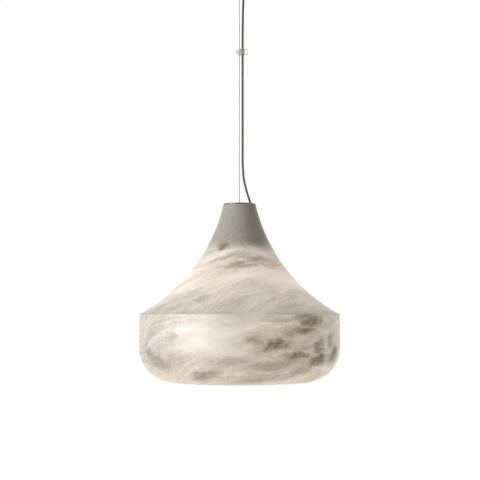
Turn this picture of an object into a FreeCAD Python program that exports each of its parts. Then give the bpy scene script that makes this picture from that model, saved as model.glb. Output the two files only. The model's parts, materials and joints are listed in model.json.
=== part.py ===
import FreeCAD, Part
import math
import os
import Sketcher

# Alabaster pendant lamp, 450 mm across and 400 mm high, hung on one steel wire with its cable
# beside it. Origin: the middle of the ceiling plate's upper face. +Z is up, so all of the lamp
# hangs at negative Z. The cable lies on the +X side of the wire. Millimetres.

V = FreeCAD.Vector
UP = V(0, 0, 1)

DIMENSIONS = [
    # ceiling plate
    ("plate_width", 108), ("plate_thickness", 2), ("boss_width", 18), ("boss_height", 12),
    ("stud_width", 10), ("stud_inset", 1), ("slot_spacing", 70), ("slot_length", 14), ("slot_width", 5),
    ("ear_reach", 57.6), ("ear_width", 16), ("ear_drop", 18), ("ear_hole_depth", 9),
    ("small_screw_width", 4), ("small_screw_length", 6), ("earth_screw_offset", 30),
    # canopy
    ("canopy_width", 120), ("canopy_depth", 50), ("canopy_wall", 1.2), ("canopy_edge_radius", 8),
    ("ceiling_gap", 0.5), ("grommet_bore", 6.4), ("grommet_hole", 8), ("gland_offset", 14),
    ("gland_hole", 8.4), ("gland_length", 20), ("gland_tip_width", 7.4), ("gland_flange", 2),
    ("gland_collar_height", 3), ("gland_lock_height", 1.6), ("grommet_flange", 1),
    ("grommet_lip", 0.9),
    # wire gripper
    ("wire_width", 1.5), ("wire_room", 0.2), ("gripper_width", 14), ("gripper_bottom", 34),
    ("gripper_lip", 1.5), ("gripper_chamfer", 1.2), ("spring_room", 6), ("wire_tail", 3),
    ("plunger_width", 5.8), ("plunger_reach", 4), ("plunger_travel", 2),
    ("plunger_flange_width", 7), ("plunger_flange_height", 1.4), ("plunger_chamfer", 0.5),
    ("jaw_width", 4), ("jaw_length", 3),
    # terminal block and cord clamp
    ("block_width", 16), ("block_length", 30), ("block_height", 15), ("block_start", 11.5),
    ("pole_bore", 4), ("pole_depth", 8), ("pole_screw_width", 3.5), ("pole_screw_hole", 3.6),
    ("pole_screw_level", 10), ("pole_screw_depth", 5), ("clamp_top", 25), ("clamp_height", 6),
    ("clamp_length", 24), ("clamp_width", 8), ("post_width", 2), ("post_depth", 4),
    ("sheath_end", 1.5), ("lead_width", 1.2), ("lead_pitch", 1.3),
    # wire and cable
    ("drop_length", 530), ("cable_width", 4.8), ("cable_offset", 7), ("clip_height", 349.5),
    ("straight_below_gland", 16), ("upper_bend_drop", 40), ("lower_bend_height", 73),
    ("last_bend_offset", 15.9), ("last_bend_height", 29.5), ("entry_offset", 25),
    ("entry_height", 1.8), ("entry_drop", 5.8), ("neck_bend_drop", 14), ("neck_run", 54),
    ("ferrule_width", 6), ("ferrule_length", 9), ("ferrule_end", 1),
    # cable clip
    ("clip_wall", 0.9), ("clip_depth", 14.4), ("clip_plate", 2.2), ("clip_wire_room", 0.45),
    ("clip_cable_room", 0.3), ("tongue_width", 4.8), ("tongue_length", 2), ("barb_length", 6),
    ("loop_reach", 9), ("loop_top_reach", 6.6), ("loop_wall", 1.8), ("loop_rail", 2.2),
    # cap and hanger in the neck
    ("cap_width", 73), ("cap_thickness", 3), ("spigot_height", 4), ("spigot_wall", 1.8),
    ("cap_boss_width", 18), ("cap_boss_height", 12), ("bush_offset", 25.8), ("bush_width", 8.6),
    ("bush_flange_width", 11.2), ("bush_flange_height", 1.5), ("bush_tail", 1.5),
    ("bush_chamfer", 0.5), ("tube_bore", 7.4),
    ("tube_length", 97), ("washer_thickness", 2), ("washer_inset", 1), ("washer_bore", 66),
    ("clamp_plate_width", 94), ("clamp_plate_thickness", 3), ("plate_cable_hole", 6),
    ("inner_cable_offset", 14), ("nut_washer_width", 20),
    ("nut_washer_thickness", 1.6), ("nut_flats", 14), ("nut_height", 4),
    # alabaster shade
    ("neck_width", 74), ("neck_bore", 62), ("ledge_depth", 78), ("shade_width", 450),
    ("cone_height", 247), ("flare_radius", 378), ("bowl_height", 150), ("corner_radius", 76),
    ("stone_wall", 8), ("edge_break", 0.6), ("lap_height", 5), ("opening_width", 204),
    ("opening_chamfer", 1),
    # ring and diffuser in the bottom opening
    ("ring_flange_reach", 10), ("ring_sheet", 2), ("ring_wall", 2.7), ("ring_drop", 7.5),
    ("tab_reach", 9), ("tab_width", 20), ("tab_count", 3), ("diffuser_width", 190),
    ("diffuser_thickness", 4),
    # lampholder
    ("holder_boss_width", 16), ("holder_boss_height", 10), ("holder_cap_width", 40),
    ("holder_cap_height", 16), ("holder_wall", 2), ("holder_shoulder", 3), ("skirt_width", 44),
    ("skirt_height", 40), ("skirt_lap", 6), ("skirt_bend", 2), ("mouth_bore", 27.2),
    ("insert_width", 36), ("insert_height", 12), ("insert_rise", 8), ("insert_flange", 0.9),
    ("insert_room", 0.4), ("insert_hole", 2), ("holder_cable_room", 0.2), ("sheath_inside", 4),
    ("lead_inset", 3), ("shell_bore", 27), ("shell_wall", 0.5), ("shell_length", 27),
    ("shell_top_bore", 14), ("lip_height", 3), ("contact_height", 5),
    ("contact_pin_width", 4), ("contact_base_width", 9), ("contact_base_height", 1.2),
    # bulb
    ("bulb_cap_width", 26.2), ("bulb_cap_length", 22), ("thread_pitch", 3.6),
    ("thread_depth", 0.7), ("thread_count", 5), ("thread_start", 1.5), ("thread_crest", 1),
    ("bulb_tip_height", 2.6), ("bulb_tip_width", 19.2), ("bulb_contact_width", 9.6),
    ("bulb_contact_height", 0.6), ("bulb_collar_length", 38), ("collar_lip", 0.5),
    ("collar_shoulder", 3), ("collar_flare", 90), ("globe_width", 60), ("globe_wall", 1.5),
    ("globe_centre", 77), ("contact_gap", 0.3),
    # clearances
    ("fit", 0.05), ("slide_fit", 0.1), ("stone_fit", 0.3),
]


class Size:
    """A length that knows its value and the formula that ties it to the table."""

    def __init__(self, value, formula):
        self.value = value
        self.formula = formula

    @staticmethod
    def of(number):
        return number if isinstance(number, Size) else Size(float(number), "%g" % number)

    def joined(self, other, sign, value):
        return Size(value, "(%s %s %s)" % (self.formula, sign, other.formula))

    def __add__(self, other):
        other = Size.of(other)
        return self.joined(other, "+", self.value + other.value)

    def __sub__(self, other):
        other = Size.of(other)
        return self.joined(other, "-", self.value - other.value)

    def __mul__(self, other):
        other = Size.of(other)
        return self.joined(other, "*", self.value * other.value)

    def __truediv__(self, other):
        other = Size.of(other)
        return self.joined(other, "/", self.value / other.value)

    def __radd__(self, other):
        return Size.of(other) + self

    def __rsub__(self, other):
        return Size.of(other) - self

    def __rmul__(self, other):
        return Size.of(other) * self

    def __neg__(self):
        return Size(-self.value, "(0 - %s)" % self.formula)

    def root(self):
        return Size(self.value**0.5, "sqrt(%s)" % self.formula)


class Table:
    """The spreadsheet of driving dimensions, read as table.alias."""

    def __init__(self, doc, rows):
        self.sheet = doc.addObject("Spreadsheet::Sheet", "sizes")
        for row, (alias, value) in enumerate(rows, start=1):
            self.sheet.set("A%d" % row, alias.replace("_", " "))
            self.sheet.set("B%d" % row, "%g" % value)
            self.sheet.setAlias("B%d" % row, alias)
        doc.recompute()

    def __getattr__(self, alias):
        return Size(float(self.sheet.get(alias)), "sizes." + alias)


doc = FreeCAD.newDocument("pendant")
t = Table(doc, DIMENSIONS)

# Levels that several pieces share, and radii that fit each other.
wire_r = t.wire_width / 2
cable_r = t.cable_width / 2
stud_r = t.stud_width / 2
canopy_floor = -t.canopy_depth
gland_mouth = canopy_floor - t.gland_length
swing_level = -(t.gripper_bottom + t.plunger_reach)
cap_top = canopy_floor - t.drop_length
cap_under = cap_top - t.cap_thickness
stone_top = cap_under
ledge_level = stone_top - t.ledge_depth
ridge_level = stone_top - t.cone_height
stone_bottom = ridge_level - t.bowl_height
clip_level = cap_top + t.clip_height
tube_top = cap_under - t.stud_inset
tube_bottom = tube_top - t.tube_length
plate_top = ledge_level - t.washer_thickness
washer_top = plate_top - t.clamp_plate_thickness
nut_top = washer_top - t.nut_washer_thickness
holder_top = tube_bottom + t.holder_boss_height - t.stud_inset
holder_cap_top = holder_top - t.holder_boss_height
holder_cap_bottom = holder_cap_top - t.holder_cap_height
sheath_bottom = holder_cap_top - t.sheath_inside
insert_top = holder_cap_bottom + t.insert_rise
insert_bottom = insert_top - t.insert_height
skirt_top = holder_cap_bottom + t.skirt_lap
skirt_bottom = skirt_top - t.skirt_height
bulb_top = insert_bottom - t.contact_height - t.contact_gap
screw_cap_top = bulb_top - t.bulb_tip_height
collar_top = screw_cap_top - t.bulb_cap_length
collar_bottom = collar_top - t.bulb_collar_length
globe_level = bulb_top - t.globe_centre


# ---------------------------------------------------------------- drawing and building helpers
def bind(thing, name, size):
    """Tie one property to a size."""
    thing.setExpression(name, Size.of(size).formula)


def place(thing, x=0, y=0, z=0):
    """Move a piece, with each coordinate tied to its size."""
    for axis, size in (("x", x), ("y", y), ("z", z)):
        if isinstance(size, Size) or size:
            bind(thing, "Placement.Base." + axis, size)
    return thing


def new_body(label):
    body = doc.addObject("PartDesign::Body", label)
    body.Label = label
    return body


def new_sketch(body, role, name, offset=None):
    """A sketch on one of the body's own origin planes."""
    sketch = body.newObject("Sketcher::SketchObject", name)
    plane = [f for f in body.Origin.OriginFeatures if f.Role == role][0]
    sketch.AttachmentSupport = [(plane, "")]
    sketch.MapMode = "FlatFace"
    if offset is not None:
        bind(sketch, "AttachmentOffset.Base.z", offset)
    return sketch


def dimension(sketch, kind, refs, size):
    """Add one driving constraint and tie it to its size."""
    index = sketch.addConstraint(Sketcher.Constraint(kind, *refs, size.value))
    sketch.setExpression("Constraints[%d]" % index, size.formula)


def pin(sketch, geo, end, x, y):
    """Hold a point at (x, y) from the sketch's origin."""
    for kind, size, axis in (("DistanceX", Size.of(x), -2), ("DistanceY", Size.of(y), -1)):
        if abs(size.value) < 1e-9:
            sketch.addConstraint(Sketcher.Constraint("PointOnObject", geo, end, axis))
        elif size.value > 0:
            dimension(sketch, kind, (-1, 1, geo, end), size)
        else:
            dimension(sketch, kind, (geo, end, -1, 1), -size)


def draw_circle(sketch, x, y, radius):
    radius = Size.of(radius)
    centre = V(Size.of(x).value, Size.of(y).value, 0)
    geo = sketch.addGeometry(Part.Circle(centre, UP, radius.value), False)
    pin(sketch, geo, 3, x, y)
    dimension(sketch, "Radius", (geo,), radius)


def arc_between(p, q, radius):
    """The short arc from p to q. A positive radius turns to the left on the way, a negative one
    to the right. Returns the arc and whether it runs from p to q."""
    chord = q - p
    half = chord.Length / 2
    side = V(-chord.y, chord.x, 0).normalize()
    rise = (radius * radius - half * half) ** 0.5
    centre = p + chord * 0.5 + side * (rise if radius > 0 else -rise)
    circle = Part.Circle(centre, UP, abs(radius))
    ends = (p, q) if radius > 0 else (q, p)
    return Part.ArcOfCircle(circle, circle.parameter(ends[0]), circle.parameter(ends[1])), radius > 0


def draw_outline(sketch, points):
    """A closed outline. Each point is (x, y) or (x, y, radius), where the radius bends the edge
    that arrives at the point: positive to the left, negative to the right."""
    spots = [V(Size.of(p[0]).value, Size.of(p[1]).value, 0) for p in points]
    ends = []
    for i, point in enumerate(points):
        start, stop = spots[i - 1], spots[i]
        if len(point) == 2:
            geo = sketch.addGeometry(Part.LineSegment(start, stop), False)
            ends.append((geo, 1, 2))
        else:
            radius = Size.of(point[2])
            arc, forward = arc_between(start, stop, radius.value)
            geo = sketch.addGeometry(arc, False)
            ends.append((geo, 1, 2) if forward else (geo, 2, 1))
            size = radius if forward else -radius
            dimension(sketch, "Radius", (geo,), size)
    for i, point in enumerate(points):
        after = ends[(i + 1) % len(points)]
        here = ends[i]
        sketch.addConstraint(Sketcher.Constraint("Coincident", here[0], here[2], after[0], after[1]))
        pin(sketch, here[0], here[2], point[0], point[1])


def rectangle(x0, y0, x1, y1):
    return [(x0, y0), (x1, y0), (x1, y1), (x0, y1)]


def revolved(label, points, z):
    """A turned piece: its half section in the XZ plane spun about Z, set at height z."""
    body = new_body(label)
    sketch = new_sketch(body, "XZ_Plane", label + "_section")
    draw_outline(sketch, points)
    turn = body.newObject("PartDesign::Revolution", label + "_turn")
    turn.Profile = sketch
    turn.ReferenceAxis = (sketch, ["V_Axis"])
    turn.Angle = 360
    place(body, z=z)
    return body


def feature(kind, body, sketch, length=None, down=False, through=False, both=False):
    """A pad or pocket from a sketch."""
    made = body.newObject("PartDesign::" + kind, "%s_%s" % (sketch.Name, kind.lower()))
    made.Profile = sketch
    if through:
        made.Type = "ThroughAll"
    else:
        bind(made, "Length", length)
    made.Reversed = down
    if both:
        made.SideType = "Symmetric"
    return made


def drill(body, name, x, y, radius):
    """A round hole along Z right through a piece, from its own XY plane downwards."""
    sketch = new_sketch(body, "XY_Plane", name)
    draw_circle(sketch, x, y, radius)
    made = feature("Pocket", body, sketch, through=True, both=True)
    return made


def cylinder(name, radius, height, x=0, y=0, z=0):
    """An upright cylinder with its lower end at (x, y, z)."""
    rod = doc.addObject("Part::Cylinder", name)
    bind(rod, "Radius", radius)
    bind(rod, "Height", height)
    return place(rod, x, y, z)


def box(name, x0, y0, z0, x1, y1, z1):
    block = doc.addObject("Part::Box", name)
    bind(block, "Length", x1 - x0)
    bind(block, "Width", y1 - y0)
    bind(block, "Height", z1 - z0)
    return place(block, x0, y0, z0)


def fused(name, pieces):
    joined = doc.addObject("Part::MultiFuse", name)
    joined.Shapes = pieces
    return joined


def cut(label, base, tools):
    """The base with the tools taken away."""
    made = doc.addObject("Part::Cut", label)
    made.Label = label
    made.Base = base
    made.Tool = tools[0] if len(tools) == 1 else fused(label + "_tools", tools)
    return made


def group(label, pieces):
    """Separate solids that share one node."""
    made = doc.addObject("Part::Compound", label)
    made.Label = label
    made.Links = pieces
    return made


def route(points):
    """Straight runs joined by tangent arcs, each arc as large as 0.45 of its shorter run allows.
    Returns the wire and the arcs' radii."""
    edges, radii = [], []
    here = points[0]
    for before, corner, after in zip(points, points[1:], points[2:]):
        back, ahead = (before - corner), (after - corner)
        reach = 0.45 * min(back.Length, ahead.Length)
        half_turn = (math.pi - back.getAngle(ahead)) / 2
        back, ahead = back.normalize(), ahead.normalize()
        start, stop = corner + back * reach, corner + ahead * reach
        radius = reach / math.tan(half_turn)
        inward = (back + ahead).normalize()
        middle = corner + inward * ((radius * radius + reach * reach) ** 0.5 - radius)
        edges.append(Part.LineSegment(here, start).toShape())
        edges.append(Part.Arc(start, middle, stop).toShape())
        radii.append(radius)
        here = stop
    edges.append(Part.LineSegment(here, points[-1]).toShape())
    return Part.Wire(edges), radii


def tube_shape(points, radius):
    """A solid round tube along a route, with its radii printed and its volume compared."""
    wire, radii = route(points)
    direction = points[1] - points[0]
    ring = Part.Wire([Part.Circle(points[0], direction, radius).toShape()])
    solid = wire.makePipeShell([ring], True, False)
    expected = math.pi * radius * radius * wire.Length
    print("tube %.1f mm long, radii %s, volume %.4f of section times length"
          % (wire.Length, ["%.0f" % r for r in radii], solid.Volume / expected))
    return solid


def tube(label, points, radius, z):
    """A tube whose points are (x, height) pairs in the XZ plane above the level z."""
    made = doc.addObject("Part::Feature", label)
    made.Label = label
    spots = [V(Size.of(x).value, 0, Size.of(height).value) for x, height in points]
    made.Shape = tube_shape(spots, Size.of(radius).value)
    made.Placement = FreeCAD.Placement(V(0, 0, z.value), FreeCAD.Rotation())
    return made


# ---------------------------------------------------------------- at the ceiling
def ceiling_plate():
    """Round steel plate with a threaded boss, two slots for the ceiling screws, and two ears
    turned down for the canopy's screws."""
    body = new_body("ceiling_plate")
    disc = new_sketch(body, "XY_Plane", "plate_disc")
    draw_circle(disc, 0, 0, t.plate_width / 2)
    feature("Pad", body, disc, t.plate_thickness, down=True)
    strap = new_sketch(body, "XY_Plane", "plate_strap")
    half = t.ear_width / 2
    draw_outline(strap, rectangle(-t.ear_reach, -half, t.ear_reach, half))
    feature("Pad", body, strap, t.plate_thickness, down=True)
    boss = new_sketch(body, "XY_Plane", "plate_boss")
    draw_circle(boss, 0, 0, t.boss_width / 2)
    feature("Pad", body, boss, t.boss_height, down=True)
    ear = new_sketch(body, "YZ_Plane", "plate_ear", t.ear_reach - t.plate_thickness)
    draw_outline(ear, rectangle(-half, -t.ear_drop, half, Size.of(0)))
    draw_circle(ear, 0, -t.ear_hole_depth, t.small_screw_width / 2 + t.fit)
    pad = feature("Pad", body, ear, t.plate_thickness)
    mirror = body.newObject("PartDesign::Mirrored", "plate_ears")
    mirror.Originals = [pad]
    plane = [f for f in body.Origin.OriginFeatures if f.Role == "YZ_Plane"][0]
    mirror.MirrorPlane = (plane, [""])
    body.Tip = mirror
    slots = new_sketch(body, "XY_Plane", "plate_slots")
    side = t.slot_width / 2
    run = t.slot_length / 2 - side
    for middle in (t.slot_spacing / 2, -t.slot_spacing / 2):
        low, high = middle - run, middle + run
        draw_slot(slots, side, low, high)
    feature("Pocket", body, slots, through=True, both=True)
    drill(body, "plate_thread", 0, 0, stud_r)
    drill(body, "earth_hole", -t.earth_screw_offset, 0, t.small_screw_width / 2 + t.fit)
    return body


def draw_slot(sketch, side, low, high):
    """A round-ended slot along Y, each end drawn as two quarter arcs."""
    draw_outline(sketch, [(side, low, side), (side, high), (0, high + side, side),
                          (-side, high, side), (-side, low), (0, low - side, side)])


def canopy():
    """Spun steel cup over the plate, with one hole for the wire and one for the cable."""
    outer = t.canopy_width / 2
    inner = outer - t.canopy_wall
    bend = t.canopy_edge_radius
    floor = t.canopy_depth
    wall = t.canopy_wall
    body = revolved("canopy", [
        (inner, -t.ceiling_gap), (inner, bend - floor),
        (outer - bend, wall - floor, wall - bend), (t.grommet_hole / 2, wall - floor),
        (t.grommet_hole / 2, -floor), (outer - bend, -floor),
        (outer, bend - floor, bend), (outer, -t.ceiling_gap)], Size.of(0))
    drill(body, "cable_hole", t.gland_offset, 0, t.gland_hole / 2)
    sides = new_sketch(body, "YZ_Plane", "side_holes")
    draw_circle(sides, 0, -t.ear_hole_depth, t.small_screw_width / 2 + t.slide_fit)
    feature("Pocket", body, sides, through=True, both=True)
    return body


def pan_screw(label, width, length):
    """A pan-head screw that points down, its head's underside at z = 0."""
    shank, head = width / 2, width
    dome = width * 0.15
    return revolved(label, [
        (0, -length), (shank - 0.4, -length), (shank, 0.4 - length), (shank, 0), (head, 0),
        (head, width * 0.3), (head - dome, width * 0.3 + dome, dome * 1.6),
        (width * 0.3, width * 0.3 + dome), (width * 0.3, width * 0.2), (0, width * 0.2)],
        Size.of(0))


def canopy_screws():
    """The two screws that hold the canopy to the plate's ears."""
    screws = []
    reach = t.canopy_width / 2 + t.fit
    for name, side in (("canopy_screw_right", 1), ("canopy_screw_left", -1)):
        screw = pan_screw(name, t.small_screw_width, t.small_screw_length)
        screw.Placement = FreeCAD.Placement(V(0, 0, 0), FreeCAD.Rotation(V(0, 1, 0), 90 * side))
        screws.append(place(screw, x=reach * side, z=-t.ear_hole_depth))
    return group("canopy_screws", screws)


def earth_screw():
    screw = pan_screw("earth_screw", t.small_screw_width, t.plate_thickness)
    screw.Placement = FreeCAD.Placement(V(0, 0, 0), FreeCAD.Rotation(V(0, 1, 0), 180))
    return place(screw, x=-t.earth_screw_offset, z=-t.plate_thickness)


def gripper_levels():
    """Levels inside the gripper with the plunger down: the lip's upper face, the flange's two
    faces and the end of the sleeve that opens the jaws."""
    lip = t.gripper_lip - t.gripper_bottom
    flange_low = lip + t.slide_fit
    flange_top = flange_low + t.plunger_flange_height
    return lip, flange_low, flange_top, flange_top + t.jaw_length


def gripper_body():
    """Turned brass body of the wire gripper, screwed into the plate's boss, with a chamber for
    the plunger's flange and a lip that keeps it in."""
    outer = t.gripper_width / 2
    bottom = -t.gripper_bottom
    bore = wire_r + t.wire_room
    chamber = t.plunger_flange_width / 2 + t.slide_fit
    mouth = t.plunger_width / 2 + t.slide_fit
    lip, _, _, jaw_top = gripper_levels()
    chamber_top = jaw_top + t.plunger_travel + t.spring_room
    soft = t.gripper_chamfer
    stud = stud_r - t.fit
    return revolved("gripper_body", [
        (bore, -t.stud_inset), (bore, chamber_top), (chamber, chamber_top), (chamber, lip),
        (mouth, lip), (mouth, bottom), (outer - soft, bottom), (outer, bottom + soft),
        (outer, -t.boss_height), (stud, -t.boss_height), (stud, -t.stud_inset)], Size.of(0))


def gripper_plunger():
    """The sleeve that is pressed up to let the wire go."""
    stem, flange, jaw = t.plunger_width / 2, t.plunger_flange_width / 2, t.jaw_width / 2
    bore = wire_r + t.wire_room
    _, low, top, jaw_top = gripper_levels()
    soft = t.plunger_chamfer
    return revolved("gripper_plunger", [
        (bore, swing_level), (bore, jaw_top), (jaw, jaw_top), (jaw, top), (flange, top),
        (flange, low), (stem, low), (stem, swing_level + soft), (stem - soft, swing_level)],
        Size.of(0))


def wire_grip_end():
    """The end of the wire that the gripper holds."""
    top = -t.wire_tail
    low = swing_level + wire_r + t.fit
    return revolved("wire_grip_end", [(0, low), (wire_r, low), (wire_r, top), (0, top)],
                    Size.of(0))


def wire_grommet():
    """Nylon ring that lines the canopy's middle hole, wide enough for the wire to swing."""
    bore = t.grommet_bore / 2
    neck = t.grommet_hole / 2 - t.fit
    flange = t.grommet_hole / 2 + t.grommet_flange
    top, floor, lip = t.canopy_wall + t.fit, -t.fit, t.grommet_lip
    return revolved("wire_grommet", [
        (bore, floor - lip), (flange, floor - lip), (flange, floor), (neck, floor), (neck, top),
        (flange, top), (flange, top + lip), (bore, top + lip)], canopy_floor)


def canopy_gland():
    """Tapered rubber strain relief where the cable leaves the canopy."""
    bore = cable_r + t.fit
    neck = t.gland_hole / 2 - t.fit
    flange = neck + t.gland_flange
    waist = neck + t.gland_flange * 0.6
    collar = t.gland_collar_height
    tip = t.gland_tip_width / 2
    top, floor, lock = t.canopy_wall + t.fit, -t.fit, t.gland_lock_height
    gland = revolved("canopy_gland", [
        (bore, -t.gland_length), (tip, -t.gland_length), (waist, floor - collar),
        (flange, floor - collar * 0.8, -collar), (flange, floor), (neck, floor), (neck, top),
        (flange, top), (flange, top + lock), (bore, top + lock)], canopy_floor)
    return place(gland, x=t.gland_offset)


def terminal_block():
    """Three-pole block under the plate, with round entries below and screws at the side."""
    x0, x1 = t.block_start, t.block_start + t.block_width
    half = t.block_length / 2
    top = -t.plate_thickness
    bottom = top - t.block_height
    base = box("block_base", x0, -half, bottom, x1, half, top)
    tools = []
    for i, y in enumerate(terminal_rows()):
        tools.append(cylinder("entry_%d" % i, t.pole_bore / 2, t.pole_depth, entry_line(), y,
                              bottom))
        side = cylinder("screw_hole_%d" % i, t.pole_screw_hole / 2, t.pole_screw_depth + 1,
                        x1 - t.pole_screw_depth, y, bottom + t.pole_screw_level)
        side.Placement.Rotation = FreeCAD.Rotation(V(0, 1, 0), 90)
        tools.append(side)
    return cut("terminal_block", base, tools)


def terminal_rows():
    """Where the three poles lie along Y."""
    pitch = t.block_length / 4
    return [-pitch, Size.of(0), pitch]


def entry_line():
    """How far from the wire the conductors enter the block."""
    return t.block_start + t.pole_bore / 2 + t.pole_screw_hole / 2 + t.lead_width / 2


def terminal_screws():
    screws = []
    level = t.pole_screw_level - t.plate_thickness - t.block_height
    start = t.block_start + t.block_width - t.pole_screw_depth
    for i, y in enumerate(terminal_rows()):
        rod = cylinder("terminal_screw_%d" % i, t.pole_screw_width / 2,
                       t.pole_screw_depth - t.sheath_end, start, y, level)
        rod.Placement.Rotation = FreeCAD.Rotation(V(0, 1, 0), 90)
        screws.append(rod)
    return group("terminal_screws", screws)


def cord_clamp():
    """Moulded saddle that holds the cable's sheath, on two posts from the terminal block."""
    middle, reach, depth = t.gland_offset, t.clamp_width / 2, t.post_depth / 2
    top = -t.clamp_top
    bottom = top - t.clamp_height
    half = t.clamp_length / 2
    bridge = box("clamp_bridge", middle - reach, -half, bottom, middle + reach, half, top)
    under_block = -t.plate_thickness - t.block_height
    posts = [box("clamp_post_%d" % i, middle - depth, y, top, middle + depth, y + t.post_width,
                 under_block) for i, y in enumerate((-half, half - t.post_width))]
    hole = cylinder("clamp_hole", cable_r + t.fit, t.clamp_height + 2, middle, 0, bottom - 1)
    return cut("cord_clamp", fused("clamp_blank", [bridge] + posts), [hole])


def canopy_cable():
    """The cable inside the canopy, from the gland's mouth to the cord clamp."""
    top = t.sheath_end - t.clamp_top
    rod = cylinder("canopy_cable", cable_r, top - gland_mouth, t.gland_offset, 0, gland_mouth)
    rod.Label = "canopy_cable"
    return rod


def canopy_leads():
    """Three conductors from the cable's end up into the terminal block."""
    leads = []
    radius = t.lead_width.value / 2
    start = V(t.gland_offset.value, 0, (t.sheath_end - t.clamp_top).value)
    under_block = (-t.plate_thickness - t.block_height).value
    for i, y in enumerate(terminal_rows()):
        foot = start + V(0, t.lead_pitch.value * (i - 1), 0)
        bend = V(entry_line().value, y.value, under_block - 2 * radius)
        tip = bend + V(0, 0, t.pole_depth.value * 0.6)
        lead = doc.addObject("Part::Feature", "canopy_lead_%d" % i)
        lead.Shape = tube_shape([foot, foot + V(0, 0, t.sheath_end.value), bend, tip], radius)
        leads.append(lead)
    return group("canopy_leads", leads)


# ---------------------------------------------------------------- the suspension
def suspension_wire():
    """Steel wire from the gripper's mouth to the ferrule under the cap, round at the top where
    it bends when the lamp swings."""
    end = ferrule_floor() - swing_level
    return revolved("suspension_wire", [
        (0, end), (wire_r, end), (wire_r, 0), (0, wire_r, wire_r)], swing_level)


def ferrule_floor():
    """The level at which the wire ends inside its ferrule."""
    return cap_under - t.ferrule_length + t.ferrule_end


def wire_ferrule():
    """Crimped stop whose flat shoulder carries the cap and lets the lamp turn."""
    outer = t.ferrule_width / 2
    bore = wire_r + t.fit
    low, floor = -t.ferrule_length, t.ferrule_end - t.ferrule_length
    soft = t.edge_break
    return revolved("wire_ferrule", [
        (0, low), (outer - soft, low), (outer, low + soft), (outer, -soft / 2),
        (outer - soft / 2, 0), (bore, 0), (bore, floor), (0, floor)], cap_under)


def tangent_points(small, large, gap):
    """The half outline round two circles on one line: where the straight side touches them."""
    rise = (large - small) / gap
    height = (1 - rise * rise).root()
    return ((-small * rise, small * height), (gap - large * rise, large * height))


def draw_two_circle_ring(sketch, small, large, gap):
    """A closed outline round a small circle at the origin and a large one at x = gap."""
    (x0, y0), (x1, y1) = tangent_points(small, large, gap)
    draw_outline(sketch, [(x0, y0, -small), (x1, y1), (gap + large, 0, -large),
                          (x1, -y1, -large), (x0, -y0), (-small, 0, -small)])


def cable_clip():
    """Clear clip round the wire and the cable, with a barbed tongue on one side and a pull loop
    on the other."""
    body = new_body("cable_clip")
    ring = new_sketch(body, "XY_Plane", "clip_ring")
    small = wire_r + t.clip_wire_room
    large = cable_r + t.clip_cable_room
    draw_two_circle_ring(ring, small, large, t.cable_offset)
    draw_two_circle_ring(ring, small + t.clip_wall, large + t.clip_wall, t.cable_offset)
    feature("Pad", body, ring, t.clip_depth, both=True)
    barb = new_sketch(body, "XZ_Plane", "clip_barb")
    high = t.clip_depth / 2
    left = -(small + t.clip_wall / 2)
    neck, tip, half = left - t.tongue_length, left - t.tongue_length - t.barb_length, t.tongue_width / 2
    draw_outline(barb, [(left, half), (neck, half), (neck, high), (tip, 0), (neck, -high),
                        (neck, -half), (left, -half)])
    feature("Pad", body, barb, t.clip_plate, both=True)
    loop = new_sketch(body, "XZ_Plane", "clip_loop")
    right = t.cable_offset + large + t.clip_wall / 2
    wall, rail, reach = t.loop_wall, t.loop_rail, t.loop_reach
    draw_outline(loop, [(right, high), (right, -high), (right + reach, t.edge_break - high),
                        (right + t.loop_top_reach, high)])
    draw_outline(loop, [(right + wall, high - rail), (right + t.loop_top_reach - wall, high - rail),
                        (right + reach - wall, rail + t.edge_break - high),
                        (right + wall, rail - high)])
    feature("Pad", body, loop, t.clip_plate, both=True)
    place(body, z=clip_level)
    return body


def cable_points():
    """The cable's route as (x, height above the cap) pairs, from the canopy to the lampholder:
    the free stretch above the clip, the one below it, and the held one in the neck."""
    mouth = t.drop_length - t.gland_length
    beside = t.cable_offset
    last_bend = (t.last_bend_offset, t.last_bend_height)
    entry = (t.entry_offset, t.entry_height)
    lean = (entry[0] - last_bend[0]) / (entry[1] - last_bend[1])
    elbow = (entry[0] - lean * t.entry_drop, entry[1] - t.entry_drop)
    upper = [(t.gland_offset, mouth), (t.gland_offset, mouth - t.straight_below_gland),
             (beside, mouth - t.upper_bend_drop), (beside, t.clip_height)]
    lower = [(beside, t.clip_height), (beside, t.lower_bend_height), last_bend, entry]
    down = t.inner_cable_offset
    inner = [entry, elbow, (elbow[0], elbow[1] - t.neck_bend_drop), (down, elbow[1] - t.neck_run),
             (down, sheath_bottom - cap_top)]
    return upper, lower, inner


# ---------------------------------------------------------------- the cap and the hanger
def neck_cap():
    """Steel disc on the neck, with a spigot in the stone's bore, a threaded boss for the hanger
    tube, the wire's hole in the middle and the cable's hole at one side."""
    rim = t.cap_width / 2
    under = -t.cap_thickness
    spigot = t.neck_bore / 2 - t.stone_fit
    spigot_low = under - t.spigot_height
    boss = t.cap_boss_width / 2
    boss_low = under - t.cap_boss_height
    hole = wire_r + t.wire_room
    body = revolved("neck_cap", [
        (hole, 0), (hole, under), (stud_r, under), (stud_r, boss_low), (boss, boss_low),
        (boss, under), (spigot - t.spigot_wall, under), (spigot - t.spigot_wall, spigot_low),
        (spigot, spigot_low), (spigot, under), (rim, under), (rim, -t.edge_break),
        (rim - t.edge_break, 0)], cap_top)
    drill(body, "bush_hole", t.bush_offset, 0, t.bush_width / 2 + t.fit)
    return body


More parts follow.
